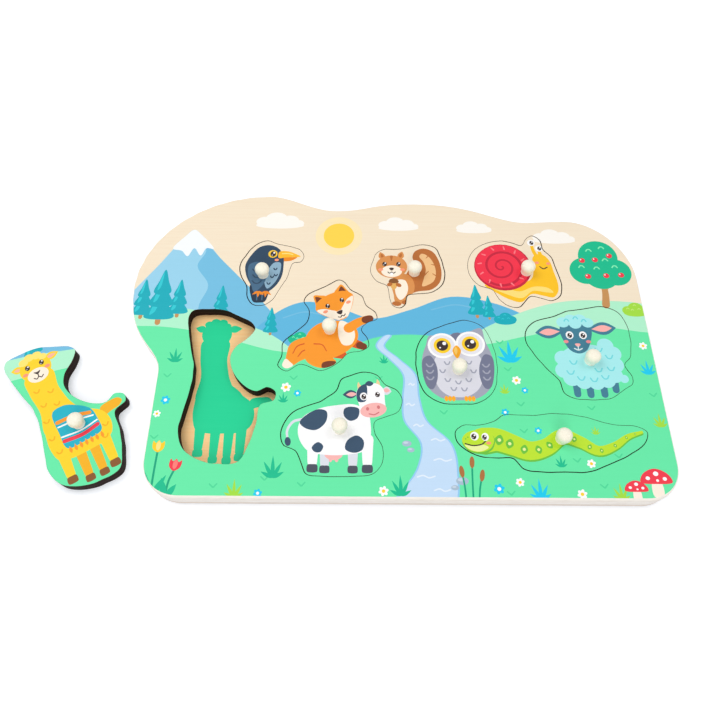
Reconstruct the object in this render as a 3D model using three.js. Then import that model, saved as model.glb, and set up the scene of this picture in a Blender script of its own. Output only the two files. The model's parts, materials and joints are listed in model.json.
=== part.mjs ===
// A plywood peg puzzle: a wavy-edged board with nine animal pieces that lift out by turned wooden knobs.
// Eight pieces sit in their recesses, and the ninth, the llama, lies on the table beside the board.
// Millimetres, +Z up. The origin is on the underside, in the middle of the board's width and depth.

import * as THREE from 'three';

// Board: two plywood sheets of one outline, glued face to face
const BOARD_WIDTH = 300; // from the round left shoulder to the straight right edge
const BOARD_DEPTH = 196; // from the straight front edge to the highest wave
const WAVE_HEIGHT = 19.8; // from the lowest dip of the back edge to the highest wave
const BACK_THICKNESS = 3; // plain back sheet, the floor of the recesses
const FACE_THICKNESS = 7; // printed sheet, from which the pieces are cut
const CUT_GAP = 0.7; // what the cutting beam leaves between a piece and the edge of its recess

// Least wood left between the recesses and the board's edge, on each side
const RIM_FRONT = 11.8;
const RIM_RIGHT = 11.2;
const RIM_BACK = 10.1; // measured to the lowest dip of the waves
const RIM_LEFT = 12.8; // measured to the straight front left edge
const LEFT_BULGE = 22.2; // how far the left shoulder stands out past that edge
const FRONT_LEFT_RADIUS = 20.5;
const FRONT_RIGHT_RADIUS = 19.5;

// Knob: a turned head on a neck, with a dowel that is glued into a hole through the piece
const DOWEL_DIAMETER = 4.4;
const DOWEL_SHORT = 0.5; // the dowel ends this far inside the back of the piece
const GLUE_GAP = 0.3; // between the dowel and the wall of its hole
const SHOULDER = 1.1; // width of the ring of the neck that stands on the piece
const OVERHANG = 0.9; // how far the head stands out past the neck
const NECK_HEIGHT = 3.4;
const UNDERCUT_HEIGHT = 2; // from the top of the neck to the widest part of the head
const CROWN_HEIGHT = 3.2; // from there to the top of the head
const ROUND_SIDES = 16;
// Where the head's profile has its points, below and above the widest part
const UNDERCUT_ANGLES = [-90, -45].map(THREE.MathUtils.degToRad);
const CROWN_ANGLES = [0, 25, 48, 70].map(THREE.MathUtils.degToRad);

// Roughness of the two finishes
const LACQUERED = 0.5;
const BARE = 0.65;

// The llama piece on the table
const LOOSE_GAP = 12.3; // from the front left edge of the board to the nearest point of the piece
const LOOSE_Y = -56.9; // where its knob stands, measured from the middle of the board
const LOOSE_TURN = 30.5; // degrees, anticlockwise from how it sits in its recess

// How finely curves are cut into straight steps
const BEND_STEP = THREE.MathUtils.degToRad(15);
const RUN_STEP = 9;
const CURVE_SAMPLES = 24; // fine steps between two points of an outline
const EDGE_SAMPLES = 10; // steps along one wave of the board's edge

// Back edge, from right to left: it runs level at each crest and dip. Each has its place across the drawing,
// its rise as a share of the highest wave's, and how far it stays level before and after.
const WAVES = [
  { x: 113, rise: 0.05, before: 20, after: 10 },
  { x: 89, rise: 0, before: 5, after: 19 },
  { x: 19.5, rise: 0.72, before: 38, after: 30 },
  { x: -31, rise: 0.43, before: 20, after: 15 },
  { x: -73, rise: 1, before: 13, after: 42 },
];
// The sides run plumb at the shoulders and below the waist, for some way above and below these heights.
const RIGHT_SHOULDER = { y: 36, above: 20.5 };
const LEFT_SHOULDER = { y: 29.5, above: 37, below: 39 };
const WAIST = { y: -28, above: 15 };

// Cutting drawing of the pieces: the line that cuts each one out of the face sheet, and where its knob stands
const LLAMA = {
  name: 'llama',
  colour: '#ffd21a',
  knob: [-88.9, -44.5],
  outline: [
    [-115, 7.5], [-112.8, 12], [-106, 13.2], [-94, 12.4], [-85, 8.2], [-78, 4.4], [-75.4, 0], [-78.5, -5.5],
    [-85.5, -12], [-88, -18.5], [-85.6, -27.5], [-78.5, -36], [-72, -39], [-66, -36.6], [-61.2, -39.5],
    [-61.8, -44.5], [-69, -47.5], [-70.4, -58], [-73.8, -71], [-78.5, -79.6], [-88, -81], [-98.5, -79],
    [-108.5, -72.3], [-112.2, -61], [-109.6, -45], [-108, -26], [-111.4, -12.5],
  ],
};
const SEATED = [
  {
    name: 'blackbird',
    colour: '#2d4a63',
    knob: [-73.9, 37.5],
    outline: [
      [-72.5, 62.8], [-66, 60.2], [-58, 58.3], [-52, 55.8], [-49.5, 50.8], [-51.3, 46.6], [-56, 45.4],
      [-57.6, 41], [-59, 35], [-63, 27], [-66.8, 19.5], [-72, 15.6], [-78.5, 16], [-82.4, 21.5],
      [-83.4, 29], [-87.6, 37], [-88.6, 44], [-85, 53], [-79, 60.3],
    ],
  },
  {
    name: 'fox',
    colour: '#f6a01c',
    knob: [-32.7, -0.2],
    outline: [
      [-28, 34.2], [-24.5, 32.6], [-20.6, 27.2], [-14, 22.8], [-11.2, 16.2], [-6, 11.6], [-5.2, 6.8],
      [-11, 4], [-14, 0], [-10.6, -5.8], [-10, -11.2], [-14.5, -14.3], [-21.5, -15.8], [-28, -22.5],
      [-37, -26.8], [-48.5, -23], [-56, -27.2], [-61.4, -23.6], [-59.6, -17], [-59.4, -9], [-53, -2.2],
      [-46.2, 5], [-45.4, 12.4], [-48.6, 18.6], [-46.4, 23.6], [-37, 29],
    ],
  },
  {
    name: 'squirrel',
    colour: '#e9a868',
    knob: [17.5, 39.6],
    outline: [
      [-0.5, 56.8], [-5.4, 53.8], [-8.4, 46.5], [-9.2, 39.5], [-5.6, 33], [0.6, 29.4], [1.8, 22], [4, 15.8],
      [8.5, 14.2], [11.8, 17], [13.2, 22.8], [19, 24], [27.5, 25.2], [34.2, 30.8], [36.2, 39], [34.6, 49],
      [31, 58], [23, 60.4], [15.5, 58.7], [8, 56.9],
    ],
  },
  {
    name: 'snail',
    colour: '#f2304a',
    knob: [85.2, 40.5],
    outline: [
      [72, 63.7], [62, 61.6], [54, 56], [50, 47.5], [50.4, 38], [55.5, 30.4], [63.5, 27], [66.6, 21],
      [72, 16], [78.5, 15.2], [82.5, 19.2], [86, 22.6], [92.5, 21.2], [98, 19.8], [103.6, 23.2],
      [105.6, 32], [103.8, 41], [102, 51], [97.4, 57.4], [96.2, 64.2], [91.4, 67.7], [87.2, 65],
      [84, 60.4], [78.5, 62.2],
    ],
  },
  {
    name: 'cow',
    colour: '#f4f4f6',
    knob: [-25.7, -60.9],
    outline: [
      [-13, -26.9], [-21, -29.3], [-25.6, -31.6], [-28.4, -38.4], [-37, -45], [-49, -49.6], [-54, -54.2],
      [-57.4, -63], [-55.6, -70.2], [-49, -73.6], [-46.2, -79], [-42.8, -86], [-36, -87.2], [-18, -87.2],
      [-8, -85.8], [-3, -80], [-2.6, -71], [-6.6, -63], [-6.6, -57], [-1, -54.2], [6, -51], [8.4, -44],
      [5.5, -38], [-0.8, -34.6], [-5.5, -28.8],
    ],
  },
  {
    name: 'owl',
    colour: '#c9c9d3',
    knob: [39.8, -25.5],
    outline: [
      [45.5, 6.8], [37, 4.6], [28, 1.4], [21, -3.8], [16.8, -12], [15.8, -21], [18, -35], [22, -41.6],
      [30.5, -46.2], [39, -46.6], [48, -46.2], [56, -41.8], [60.4, -35], [62.2, -22], [60.6, -9], [55.6, 2.4],
    ],
  },
  {
    name: 'sheep',
    colour: '#a6ecee',
    knob: [114.4, -19.2],
    outline: [
      [126.5, 16.6], [117, 15.1], [105, 13.2], [96, 9.2], [86, 6.2], [80.4, 0.6], [79.2, -7], [83.6, -16.6],
      [91, -27], [95.2, -32], [97, -39.4], [103, -42.9], [113, -43.6], [122.5, -42.6], [130, -37.6],
      [136, -33.6], [136.6, -29], [133.8, -21.8], [137.6, -17.2], [139.8, -8], [139.4, 4], [135.4, 12.8],
    ],
  },
  {
    name: 'snake',
    colour: '#c6ea2c',
    knob: [92.1, -66],
    outline: [
      [63, -52], [57, -55.8], [49, -58], [40.5, -58.2], [35.8, -62], [36.4, -68], [42, -73.4], [50, -76.6],
      [58, -77], [65.2, -77.2], [70, -82.6], [77, -84.4], [90, -84.3], [104, -84.2], [114, -80.6],
      [127, -74.8], [136.6, -67.8], [138.6, -61.6], [133, -58.2], [120, -57.2], [108, -53.4], [92, -51],
      [76, -52.5],
    ],
  },
];

// The drawing is stretched to fill the board inside its rims, so the pieces and their recesses stay together.
const left = -BOARD_WIDTH / 2;
const frontLeft = left + LEFT_BULGE;
const right = BOARD_WIDTH / 2;
const front = -BOARD_DEPTH / 2;
const lowestDip = BOARD_DEPTH / 2 - WAVE_HEIGHT;
const drawnPoints = [LLAMA, ...SEATED].flatMap(({ outline }) => outline);
const drawn = new THREE.Box2().setFromPoints(drawnPoints.map(([x, y]) => new THREE.Vector2(x, y)));
const room = new THREE.Box2(
  new THREE.Vector2(frontLeft + RIM_LEFT, front + RIM_FRONT),
  new THREE.Vector2(right - RIM_RIGHT, lowestDip - RIM_BACK),
);

const stretch = room.getSize(new THREE.Vector2()).divide(drawn.getSize(new THREE.Vector2()));

function onBoard(x, y) {
  return new THREE.Vector2(x, y).sub(drawn.min).multiply(stretch).add(room.min);
}

// Board's edge, anticlockwise from the front left corner
function boardEdge() {
  const heightOf = (y) => onBoard(0, y).y;
  const rightShoulder = heightOf(RIGHT_SHOULDER.y);
  const leftShoulder = heightOf(LEFT_SHOULDER.y);
  const waist = heightOf(WAIST.y);
  const leftCorner = [frontLeft + FRONT_LEFT_RADIUS, front + FRONT_LEFT_RADIUS];
  const rightCorner = [right - FRONT_RIGHT_RADIUS, front + FRONT_RIGHT_RADIUS];
  const path = new THREE.Path();
  path.moveTo(leftCorner[0], front);
  path.lineTo(rightCorner[0], front);
  path.absarc(...rightCorner, FRONT_RIGHT_RADIUS, -Math.PI / 2, 0);
  path.lineTo(right, rightShoulder);
  let reach = [right, heightOf(RIGHT_SHOULDER.y + RIGHT_SHOULDER.above)];
  for (const wave of WAVES) {
    const x = onBoard(wave.x, 0).x;
    const y = lowestDip + wave.rise * WAVE_HEIGHT;
    path.bezierCurveTo(...reach, x + wave.before * stretch.x, y, x, y);
    reach = [x - wave.after * stretch.x, y];
  }
  const above = heightOf(LEFT_SHOULDER.y + LEFT_SHOULDER.above);
  path.bezierCurveTo(...reach, left, above, left, leftShoulder);
  reach = [left, heightOf(LEFT_SHOULDER.y - LEFT_SHOULDER.below)];
  path.bezierCurveTo(...reach, frontLeft, heightOf(WAIST.y + WAIST.above), frontLeft, waist);
  path.lineTo(frontLeft, leftCorner[1]);
  path.absarc(...leftCorner, FRONT_LEFT_RADIUS, Math.PI, 1.5 * Math.PI);
  return path.getPoints(EDGE_SAMPLES).slice(0, -1);
}

// Outlines are loops of points, anticlockwise seen from above.
function anticlockwise(loop) {
  return THREE.ShapeUtils.isClockWise(loop) ? loop.reverse() : loop;
}

// A fine loop is cut down to the points where it has turned or run far enough.
function thinned(loop) {
  const kept = [];
  let turned = BEND_STEP;
  let run = 0;
  loop.forEach((point, i) => {
    const before = point.clone().sub(loop.at(i - 1));
    const after = loop[(i + 1) % loop.length].clone().sub(point);
    turned += Math.abs(Math.atan2(before.cross(after), before.dot(after)));
    run += before.length();
    if (turned >= BEND_STEP || run >= RUN_STEP) {
      kept.push(point);
      turned = 0;
      run = 0;
    }
  });
  return kept;
}

function cutLine(outline) {
  const corners = outline.map(([x, y]) => new THREE.Vector3(...onBoard(x, y), 0));
  const curve = new THREE.CatmullRomCurve3(corners, true, 'centripetal');
  const fine = curve.getPoints(outline.length * CURVE_SAMPLES).slice(0, -1);
  return anticlockwise(thinned(fine.map(({ x, y }) => new THREE.Vector2(x, y))));
}

// The same loop, moved inwards by the same distance all round.
function inset(loop, distance) {
  return loop.map((point, i) => {
    const before = point.clone().sub(loop.at(i - 1)).normalize();
    const after = loop[(i + 1) % loop.length].clone().sub(point).normalize();
    const along = before.clone().add(after).normalize();
    const inwards = new THREE.Vector2(-along.y, along.x);
    return point.clone().addScaledVector(inwards, distance / along.dot(after));
  });
}

function circle(radius) {
  return Array.from({ length: ROUND_SIDES }, (_, i) => {
    const angle = (i / ROUND_SIDES) * 2 * Math.PI;
    return new THREE.Vector2(Math.cos(angle), Math.sin(angle)).multiplyScalar(radius);
  });
}

function sheet(loop, holes, thickness) {
  const shape = new THREE.Shape(loop);
  shape.holes = holes.map((hole) => new THREE.Path(hole));
  return new THREE.ExtrudeGeometry(shape, { depth: thickness, bevelEnabled: false });
}

function wood(colour, roughness) {
  return new THREE.MeshStandardMaterial({ color: colour, roughness, metalness: 0 });
}

function named(name, geometry, material) {
  const mesh = new THREE.Mesh(geometry, material);
  mesh.name = name;
  return mesh;
}

// Knob, standing on the face of its piece at height 0, with the dowel below
function knobGeometry() {
  const dowel = DOWEL_DIAMETER / 2;
  const neck = dowel + SHOULDER;
  const head = neck + OVERHANG;
  const widest = NECK_HEIGHT + UNDERCUT_HEIGHT;
  const end = DOWEL_SHORT - FACE_THICKNESS;
  const profile = [[0, end], [dowel, end], [dowel, 0], [neck, 0]];
  for (const angle of UNDERCUT_ANGLES) {
    profile.push([neck + OVERHANG * Math.cos(angle), widest + UNDERCUT_HEIGHT * Math.sin(angle)]);
  }
  for (const angle of CROWN_ANGLES) {
    profile.push([head * Math.cos(angle), widest + CROWN_HEIGHT * Math.sin(angle)]);
  }
  profile.push([0, widest + CROWN_HEIGHT]);
  const points = profile.map(([radius, height]) => new THREE.Vector2(radius, height));
  return new THREE.LatheGeometry(points, ROUND_SIDES).rotateX(Math.PI / 2);
}

// Piece and knob together, with the knob's axis through the group's origin and the piece's back at height 0
function animal({ name, colour, knob, outline }) {
  const seat = onBoard(...knob);
  const loop = inset(cutLine(outline), CUT_GAP).map((point) => point.sub(seat));
  const bore = circle(DOWEL_DIAMETER / 2 + GLUE_GAP);
  const piece = named(`${name}_piece`, sheet(loop, [bore], FACE_THICKNESS), wood(colour, LACQUERED));
  const handle = named(`${name}_knob`, knobGeometry(), wood('#f3e6d2', BARE));
  handle.position.z = FACE_THICKNESS;
  const group = new THREE.Group();
  group.add(piece, handle);
  return { group, seat, loop };
}

const puzzle = new THREE.Group();
puzzle.name = 'animal_puzzle';

const edge = boardEdge();
const recesses = [LLAMA, ...SEATED].map(({ outline }) => cutLine(outline));
const back = named('back_board', sheet(edge, [], BACK_THICKNESS), wood('#e8be85', BARE));
const face = named('face_board', sheet(edge, recesses, FACE_THICKNESS), wood('#8fe8b8', LACQUERED));
face.position.z = BACK_THICKNESS;
puzzle.add(back, face);

for (const design of SEATED) {
  const { group, seat } = animal(design);
  group.position.set(seat.x, seat.y, BACK_THICKNESS);
  puzzle.add(group);
}

// The llama lies turned on the table, clear of the board's front left edge.
const llama = animal(LLAMA);
const turn = THREE.MathUtils.degToRad(LOOSE_TURN);
const middle = new THREE.Vector2();
const reach = Math.max(...llama.loop.map((point) => point.clone().rotateAround(middle, turn).x));
llama.group.rotation.z = turn;
llama.group.position.set(frontLeft - LOOSE_GAP - reach, LOOSE_Y, 0);
puzzle.add(llama.group);

export default puzzle;
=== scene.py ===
# A plywood peg puzzle: a printed board with nine animal pieces that lift out by turned wooden knobs.
# Eight pieces sit in their recesses, and the ninth, the llama, lies on the table beside the board.
# The print is drawn in millimetres, seen from above, on the frame's own x and y.

import json
import math

import bmesh
import bpy
import numpy as np
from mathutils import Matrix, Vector
from mathutils.geometry import delaunay_2d_cdt, tessellate_polygon

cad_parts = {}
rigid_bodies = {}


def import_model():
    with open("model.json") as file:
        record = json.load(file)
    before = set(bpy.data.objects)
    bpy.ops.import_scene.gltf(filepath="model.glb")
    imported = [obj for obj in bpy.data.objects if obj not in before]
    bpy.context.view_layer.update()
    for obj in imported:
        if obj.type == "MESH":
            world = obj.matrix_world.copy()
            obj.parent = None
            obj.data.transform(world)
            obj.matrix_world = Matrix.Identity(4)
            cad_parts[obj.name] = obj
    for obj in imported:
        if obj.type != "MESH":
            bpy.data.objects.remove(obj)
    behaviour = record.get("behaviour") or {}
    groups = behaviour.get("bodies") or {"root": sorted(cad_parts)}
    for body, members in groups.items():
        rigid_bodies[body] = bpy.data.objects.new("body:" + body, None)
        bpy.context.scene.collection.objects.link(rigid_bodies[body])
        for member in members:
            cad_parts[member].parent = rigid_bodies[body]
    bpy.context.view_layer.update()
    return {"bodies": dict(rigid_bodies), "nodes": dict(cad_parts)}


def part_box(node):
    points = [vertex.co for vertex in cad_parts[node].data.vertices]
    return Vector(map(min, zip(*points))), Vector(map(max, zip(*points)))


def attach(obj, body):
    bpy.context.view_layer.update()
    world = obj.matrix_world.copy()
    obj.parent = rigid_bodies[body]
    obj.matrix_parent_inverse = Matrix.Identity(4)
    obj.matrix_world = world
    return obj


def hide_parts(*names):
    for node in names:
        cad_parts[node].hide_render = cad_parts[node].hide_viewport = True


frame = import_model()

# Printed sheet
# The face board and the nine pieces are cut from one sheet of birch plywood, printed with a countryside in
# flat inks and lacquered. A picture is a list of inked shapes, each laid over the ones before it, and the
# sky is bare wood.

CURVE_STEPS = 6  # straight steps between two points of a drawn line
OVAL_STEPS = 32
LEAF_STEPS = 10
END_STEPS = 7  # straight steps round the end of a brush stroke
MARK_WIDTH = 0.8  # thickness of a small curved mark

CLOUD = "#fffbf3"
SUN = "#ffd84d"
GLOW = "#fdeabb"
PEAK = "#9ad4ee"
PEAK_SHADE = "#74c0e3"
SNOW = "#f8fcff"
FAR_HILL = "#5eb8e0"
NEAR_HILL = "#b2f4cf"
MEADOW = "#66ecaa"
GRASS = "#4fdc9b"
WATER = "#c5e0fa"
RIPPLE = "#e4f1fe"
BANK = "#93cdf3"
FIR = "#00aebd"
FIR_LIGHT = "#2accd6"
LEAF = "#06c08f"
LEAF_DARK = "#05a57c"
LEAF_LIGHT = "#86f2b8"
AQUA = "#06cdf0"
LIME = "#a5e040"
LIME_LIGHT = "#c9f07d"
BARK = "#c99257"
REED = "#b0703c"
STONE = "#a9bfd2"
STONE_LIGHT = "#c9d8e6"
RED = "#f5374a"
CORAL = "#ff7f78"
WHITE = "#ffffff"
YELLOW = "#ffd21f"
STRAW = "#ffe88a"
STALK = "#fff3e2"


def between(start, end, first, last, t):
    """Where t lies on the way from start, at first, to end, at last."""
    return start + (end - start) * (t - first) / (last - first)


def curve(*points, closed=True, steps=CURVE_STEPS):
    """A smooth line through given points: a centripetal Catmull-Rom curve."""
    knots = np.array(points, float)
    if closed:
        knots = np.concatenate([knots[-1:], knots, knots[:2]])
    else:
        knots = np.concatenate([2 * knots[:1] - knots[1:2], knots, 2 * knots[-1:] - knots[-2:-1]])
    spans = np.linalg.norm(np.diff(knots, axis=0), axis=1) ** 0.5
    times = np.concatenate([[0], np.cumsum(spans)])
    line = []
    for i in range(len(knots) - 3):
        p0, p1, p2, p3 = knots[i:i + 4]
        t0, t1, t2, t3 = times[i:i + 4]
        t = np.linspace(t1, t2, steps, endpoint=False)[:, None]
        a1 = between(p0, p1, t0, t1, t)
        a2 = between(p1, p2, t1, t2, t)
        a3 = between(p2, p3, t2, t3, t)
        b1 = between(a1, a2, t0, t2, t)
        b2 = between(a2, a3, t1, t3, t)
        line.append(between(b1, b2, t1, t2, t))
    if not closed:
        line.append(knots[-2:-1])
    return np.concatenate(line)


def placed(loop, x, y, turn=0, size=1):
    """A loop drawn round the origin, resized, turned anticlockwise and moved to a place."""
    c, s = math.cos(math.radians(turn)), math.sin(math.radians(turn))
    return size * np.asarray(loop) @ np.array([[c, s], [-s, c]]) + (x, y)


def oval(x, y, width, height=None, turn=0):
    """An ellipse round a middle, or a circle where no height is given."""
    angles = np.linspace(0, 2 * math.pi, OVAL_STEPS, endpoint=False)
    half = np.array([width, height or width]) / 2
    return placed(half * np.stack([np.cos(angles), np.sin(angles)], 1), x, y, turn)


def leaf(x, y, length, width, turn, fullest=0.45):
    """A leaf with two pointed ends, from its foot along turn, widest at a share of its length."""
    share = np.linspace(0, 1, LEAF_STEPS + 1)
    half = np.sin(math.pi * share ** (math.log(0.5) / math.log(fullest))) * width / 2
    edge = np.stack([share * length, half], 1)
    return placed(np.concatenate([edge * (1, -1), edge[-2:0:-1]]), x, y, turn)


def stroke(width, *points, tip=None):
    """A brush stroke with round ends along a smooth line, which narrows or widens to its tip."""
    line = curve(*points, closed=False)
    along = np.gradient(line, axis=0)
    along /= np.linalg.norm(along, axis=1)[:, None]
    across = along @ np.array([[0, 1], [-1, 0]])
    half = np.linspace(width, width if tip is None else tip, len(line))[:, None] / 2
    angles = np.linspace(0, math.pi, END_STEPS + 1)[1:-1, None]
    end = line[-1] + half[-1] * (np.sin(angles) * along[-1] + np.cos(angles) * across[-1])
    start = line[0] - half[0] * (np.sin(angles) * along[0] + np.cos(angles) * across[0])
    return np.concatenate([line + across * half, end, (line - across * half)[::-1], start])


def paint(picture, ink, *loops):
    """Lays shapes of one ink on a picture."""
    picture.extend((ink, loop) for loop in loops)


def stamp(picture, motif, x, y, size=1, turn=0):
    """Lays a motif that is drawn round the origin at a place on the picture."""
    picture.extend((ink, placed(loop, x, y, turn, size)) for ink, loop in motif)


def marks(picture, ink, width, sag, *places):
    """Small curved marks that stand for wool, feathers or leaves. They arch up where sag is negative."""
    for x, y in places:
        paint(picture, ink, stroke(MARK_WIDTH, (x - width / 2, y + sag / 2), (x - width / 5, y - sag / 2),
                                   (x + width / 5, y - sag / 2), (x + width / 2, y + sag / 2)))


landscape = []

# Sun, clouds, a snowy peak and hills
paint(landscape, GLOW, oval(-29, 67, 29))
paint(landscape, SUN, oval(-29, 67, 19))
cloud = []
for x, y, width in ((-0.32, 0.02, 0.36), (-0.08, 0.1, 0.46), (0.2, 0.05, 0.38), (0.38, -0.02, 0.24)):
    paint(cloud, CLOUD, oval(x, y, width, 0.72 * width))
paint(cloud, CLOUD, oval(0, -0.07, 1, 0.17))
for x, y, width in ((-66, 77, 30), (8, 75, 25), (55, 73, 22), (104, 66, 26)):
    stamp(landscape, cloud, x, y, width)
paint(landscape, PEAK, curve(
    (-165, -5), (-152, 22), (-137, 45), (-124, 66), (-119, 71), (-114, 67), (-101, 50), (-88, 36),
    (-74, 20), (-58, -5)))
paint(landscape, PEAK_SHADE, curve(
    (-115, 66), (-110, 55), (-114, 44), (-106, 30), (-110, 14), (-100, -5), (-58, -5), (-74, 20),
    (-88, 36), (-101, 50)))
paint(landscape, SNOW, curve(
    (-130.5, 56.5), (-124, 66), (-119, 71), (-114, 67), (-105.5, 56.5), (-110, 57), (-113, 51.5),
    (-117.5, 57), (-121, 51), (-125, 55)))
paint(landscape, FAR_HILL, curve(
    (-80, -10), (-66, 10), (-48, 19), (-28, 15), (-8, 8), (14, 14), (38, 23), (62, 19), (84, 8),
    (104, -12), (0, -30)))
paint(landscape, PEAK_SHADE, stroke(0.8, (-60, 8), (-48, 12), (-36, 10)),
      stroke(0.8, (26, 14), (40, 17.5), (54, 14.5)))
paint(landscape, NEAR_HILL, curve(
    (30, -30), (48, -4), (70, 9), (98, 19), (124, 21), (160, 14), (170, -30)))
paint(landscape, NEAR_HILL, curve(
    (-175, -30), (-160, 8), (-138, 15), (-112, 13), (-86, 5), (-62, -6), (-40, -30)))

# Apple tree
paint(landscape, BARK, stroke(4.6, (128.5, 18), (129.5, 27), (128.5, 40), tip=3),
      stroke(1.8, (129, 27), (133.5, 33), (136, 38)))
paint(landscape, LEAF, oval(120, 42, 19), oval(138, 41, 19), oval(129, 52, 24), oval(129, 40, 22))
marks(landscape, LEAF_LIGHT, 3.2, -1.2, (118, 45), (124, 57), (132, 59), (138, 45), (127, 44), (133, 50))
for x, y in ((121, 38), (127, 50), (136, 53), (141, 39), (132, 38.5), (119, 49.5)):
    paint(landscape, RED, oval(x, y, 3.6, 3.4))
    paint(landscape, WHITE, oval(x - 0.7, y + 0.6, 0.8, 1))

# Firs and bushes
fir = []
paint(fir, BARK, stroke(0.09, (0, -0.05), (0, 0.12)))
for foot, top, half in ((0.06, 0.52, 0.25), (0.3, 0.76, 0.2), (0.54, 1, 0.145)):
    middle = (foot + top) / 2
    paint(fir, FIR, curve((0, top), (0.55 * half, middle), (half, foot), (0, foot - 0.05), (-half, foot),
                          (-0.55 * half, middle)))
    paint(fir, FIR_LIGHT, curve((-0.02, top - 0.05), (-0.3 * half, foot + 0.1), (-0.62 * half, foot + 0.04),
                                (-0.46 * half, middle)))
for x, y, height in ((-143, 9, 25), (-122, 10, 24), (-132.5, 6, 35), (-97, 9, 21), (-67, -2, 17),
                     (52.5, 10.5, 21), (59.5, 9, 15)):
    stamp(landscape, fir, x, y, height)
for x, y, width, ink, light in ((-50, -6, 12, LEAF, LEAF_LIGHT), (68.5, 7.5, 12, FIR, FIR_LIGHT),
                                (145, 14, 14, LIME, LIME_LIGHT)):
    bush = []
    paint(bush, ink, oval(-0.3, 0.02, 0.5, 0.43), oval(0.02, 0.14, 0.62, 0.53), oval(0.32, 0.02, 0.46, 0.4),
          oval(0, -0.1, 1, 0.34))
    for dx, dy in ((-0.3, 0.1), (0, 0.26), (0.16, 0.08), (-0.12, 0.04)):
        paint(bush, light, stroke(0.035, (dx - 0.05, dy), (dx, dy + 0.045), (dx + 0.05, dy)))
    stamp(landscape, bush, x, y, width)

# Meadow, and the brook that winds through it to the front edge
paint(landscape, MEADOW, curve(
    (-180, -130), (-170, -2), (-142, 2), (-116, 0), (-88, -7), (-60, -14), (-30, -13), (-4, -4), (22, -3),
    (50, -9), (80, -3), (112, 4), (146, 0), (170, -4), (180, -130)))
BROOK = ((0.5, -3.2, 2.4), (-4, -10, 3.6), (3.5, -18, 4.6), (12, -28, 6), (12.5, -42, 8), (14.5, -55, 11),
         (25, -68, 15), (25, -82, 20), (16, -104, 30))  # places along it, and its width there
BANK_WIDTH = 1
for ink, edge in ((BANK, BANK_WIDTH), (WATER, 0)):
    left_bank = [(x - width / 2 - edge, y) for x, y, width in BROOK]
    right_bank = [(x + width / 2 + edge, y) for x, y, width in BROOK]
    paint(landscape, ink, curve(*left_bank, *right_bank[::-1]))
for x, y, width in ((13, -34, 3), (12, -46, 4.5), (16, -58, 5), (26, -66, 7), (28, -77, 9), (19, -86, 9),
                    (27, -93, 8)):
    paint(landscape, RIPPLE, stroke(0.8, (x - width / 2, y), (x - width / 6, y + 0.8),
                                    (x + width / 6, y - 0.4), (x + width / 2, y + 0.4)))
for x, y, width in ((9.5, -68, 5), (11.5, -71.5, 4), (37.5, -88, 6.5), (33.5, -91.5, 4)):
    paint(landscape, STONE, oval(x, y, width, 0.66 * width))
    paint(landscape, STONE_LIGHT, oval(x - 0.1 * width, y + 0.1 * width, 0.55 * width, 0.26 * width))

# Grass and flowers
for x, y in ((-122, -30), (-64, -88), (-52, -31), (-5, -31), (67, -25), (72, -46), (64, -8), (30, -51),
             (-45, -91), (110, -48), (145, -40), (-124, -66), (62, -95), (110, -91), (-90, -92), (72, -61.5),
             (98, -77.5), (120, -75)):
    paint(landscape, GRASS, stroke(0.7, (x - 2, y + 1.6), (x - 0.2, y), tip=0.9),
          stroke(0.7, (x + 1.8, y + 1.8), (x + 0.2, y), tip=0.9))
for x, y, size, ink in ((-60, -87, 12, LEAF), (-119, -21, 9, LEAF), (-2, -21, 5.5, LEAF),
                        (69, -20, 14, AQUA), (64, -39, 6, LIME), (145, -27, 9, AQUA), (6, -96, 11, LEAF),
                        (145.5, -58, 8, LIME), (-57, -45, 6, LEAF), (77, -97.5, 11, AQUA),
                        (118, -97.5, 9, LIME), (-79, -97.5, 10, LIME),
                        (89.5, -80.5, 6.5, LEAF), (110, -62.5, 5, LIME)):
    for turn, length in ((152, 0.6), (120, 0.85), (92, 1), (63, 0.8), (30, 0.55)):
        paint(landscape, ink, leaf(x, y, size * length, size * 0.17, turn, 0.4))
PETALS = 6
for petals, heart, places in (
        (WHITE, YELLOW, ((-56, -36, 5.4), (71, -31, 5), (-3, -93.5, 5), (67, -88.5, 4.4), (-124.5, -52, 4),
                         (145, -9, 4.6), (98, -94.5, 5), (105, -78.5, 4.6))),
        (AQUA, WHITE, ((-49.5, -39.5, 4), (75, -37, 3.8), (56, -92, 5.4), (-121, -44, 5), (63, -50, 4.2),
                       (-67, -95, 4.4), (79.5, -60.5, 4)))):
    daisy = []
    for turn in np.arange(15, 375, 360 / PETALS):
        paint(daisy, petals, placed(oval(0.3, 0, 0.46, 0.34), 0, 0, turn))
    paint(daisy, heart, oval(0, 0, 0.36))
    for x, y, size in places:
        stamp(landscape, daisy, x, y, size)

# Tulips, reeds and toadstools along the front edge
for x, y, height, lean, ink, light in ((-121.5, -98, 28, 0.5, YELLOW, STRAW),
                                       (-114, -98, 18, 3, RED, CORAL)):
    paint(landscape, LEAF_DARK, stroke(1.1, (x, y), (x + 0.3 * lean, y + height / 2),
                                       (x + lean, y + height - 3)))
    paint(landscape, LEAF, leaf(x, y, 0.62 * height, 3.4, 112 - 2 * lean),
          leaf(x, y, 0.5 * height, 3.2, 62 - 2 * lean))
    tulip = []
    paint(tulip, ink, curve((-2.9, 3.6), (-1.5, 2.4), (0, 3.9), (1.5, 2.4), (2.9, 3.6), (2.9, -0.4),
                            (0, -2.6), (-2.9, -0.4)))
    paint(tulip, light, curve((-1.1, 2), (0, 3.4), (1.1, 2), (0.9, -0.8), (0, -1.6), (-0.9, -0.8)))
    stamp(landscape, tulip, x + lean, y + height - 1, turn=-3 * lean)
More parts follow.
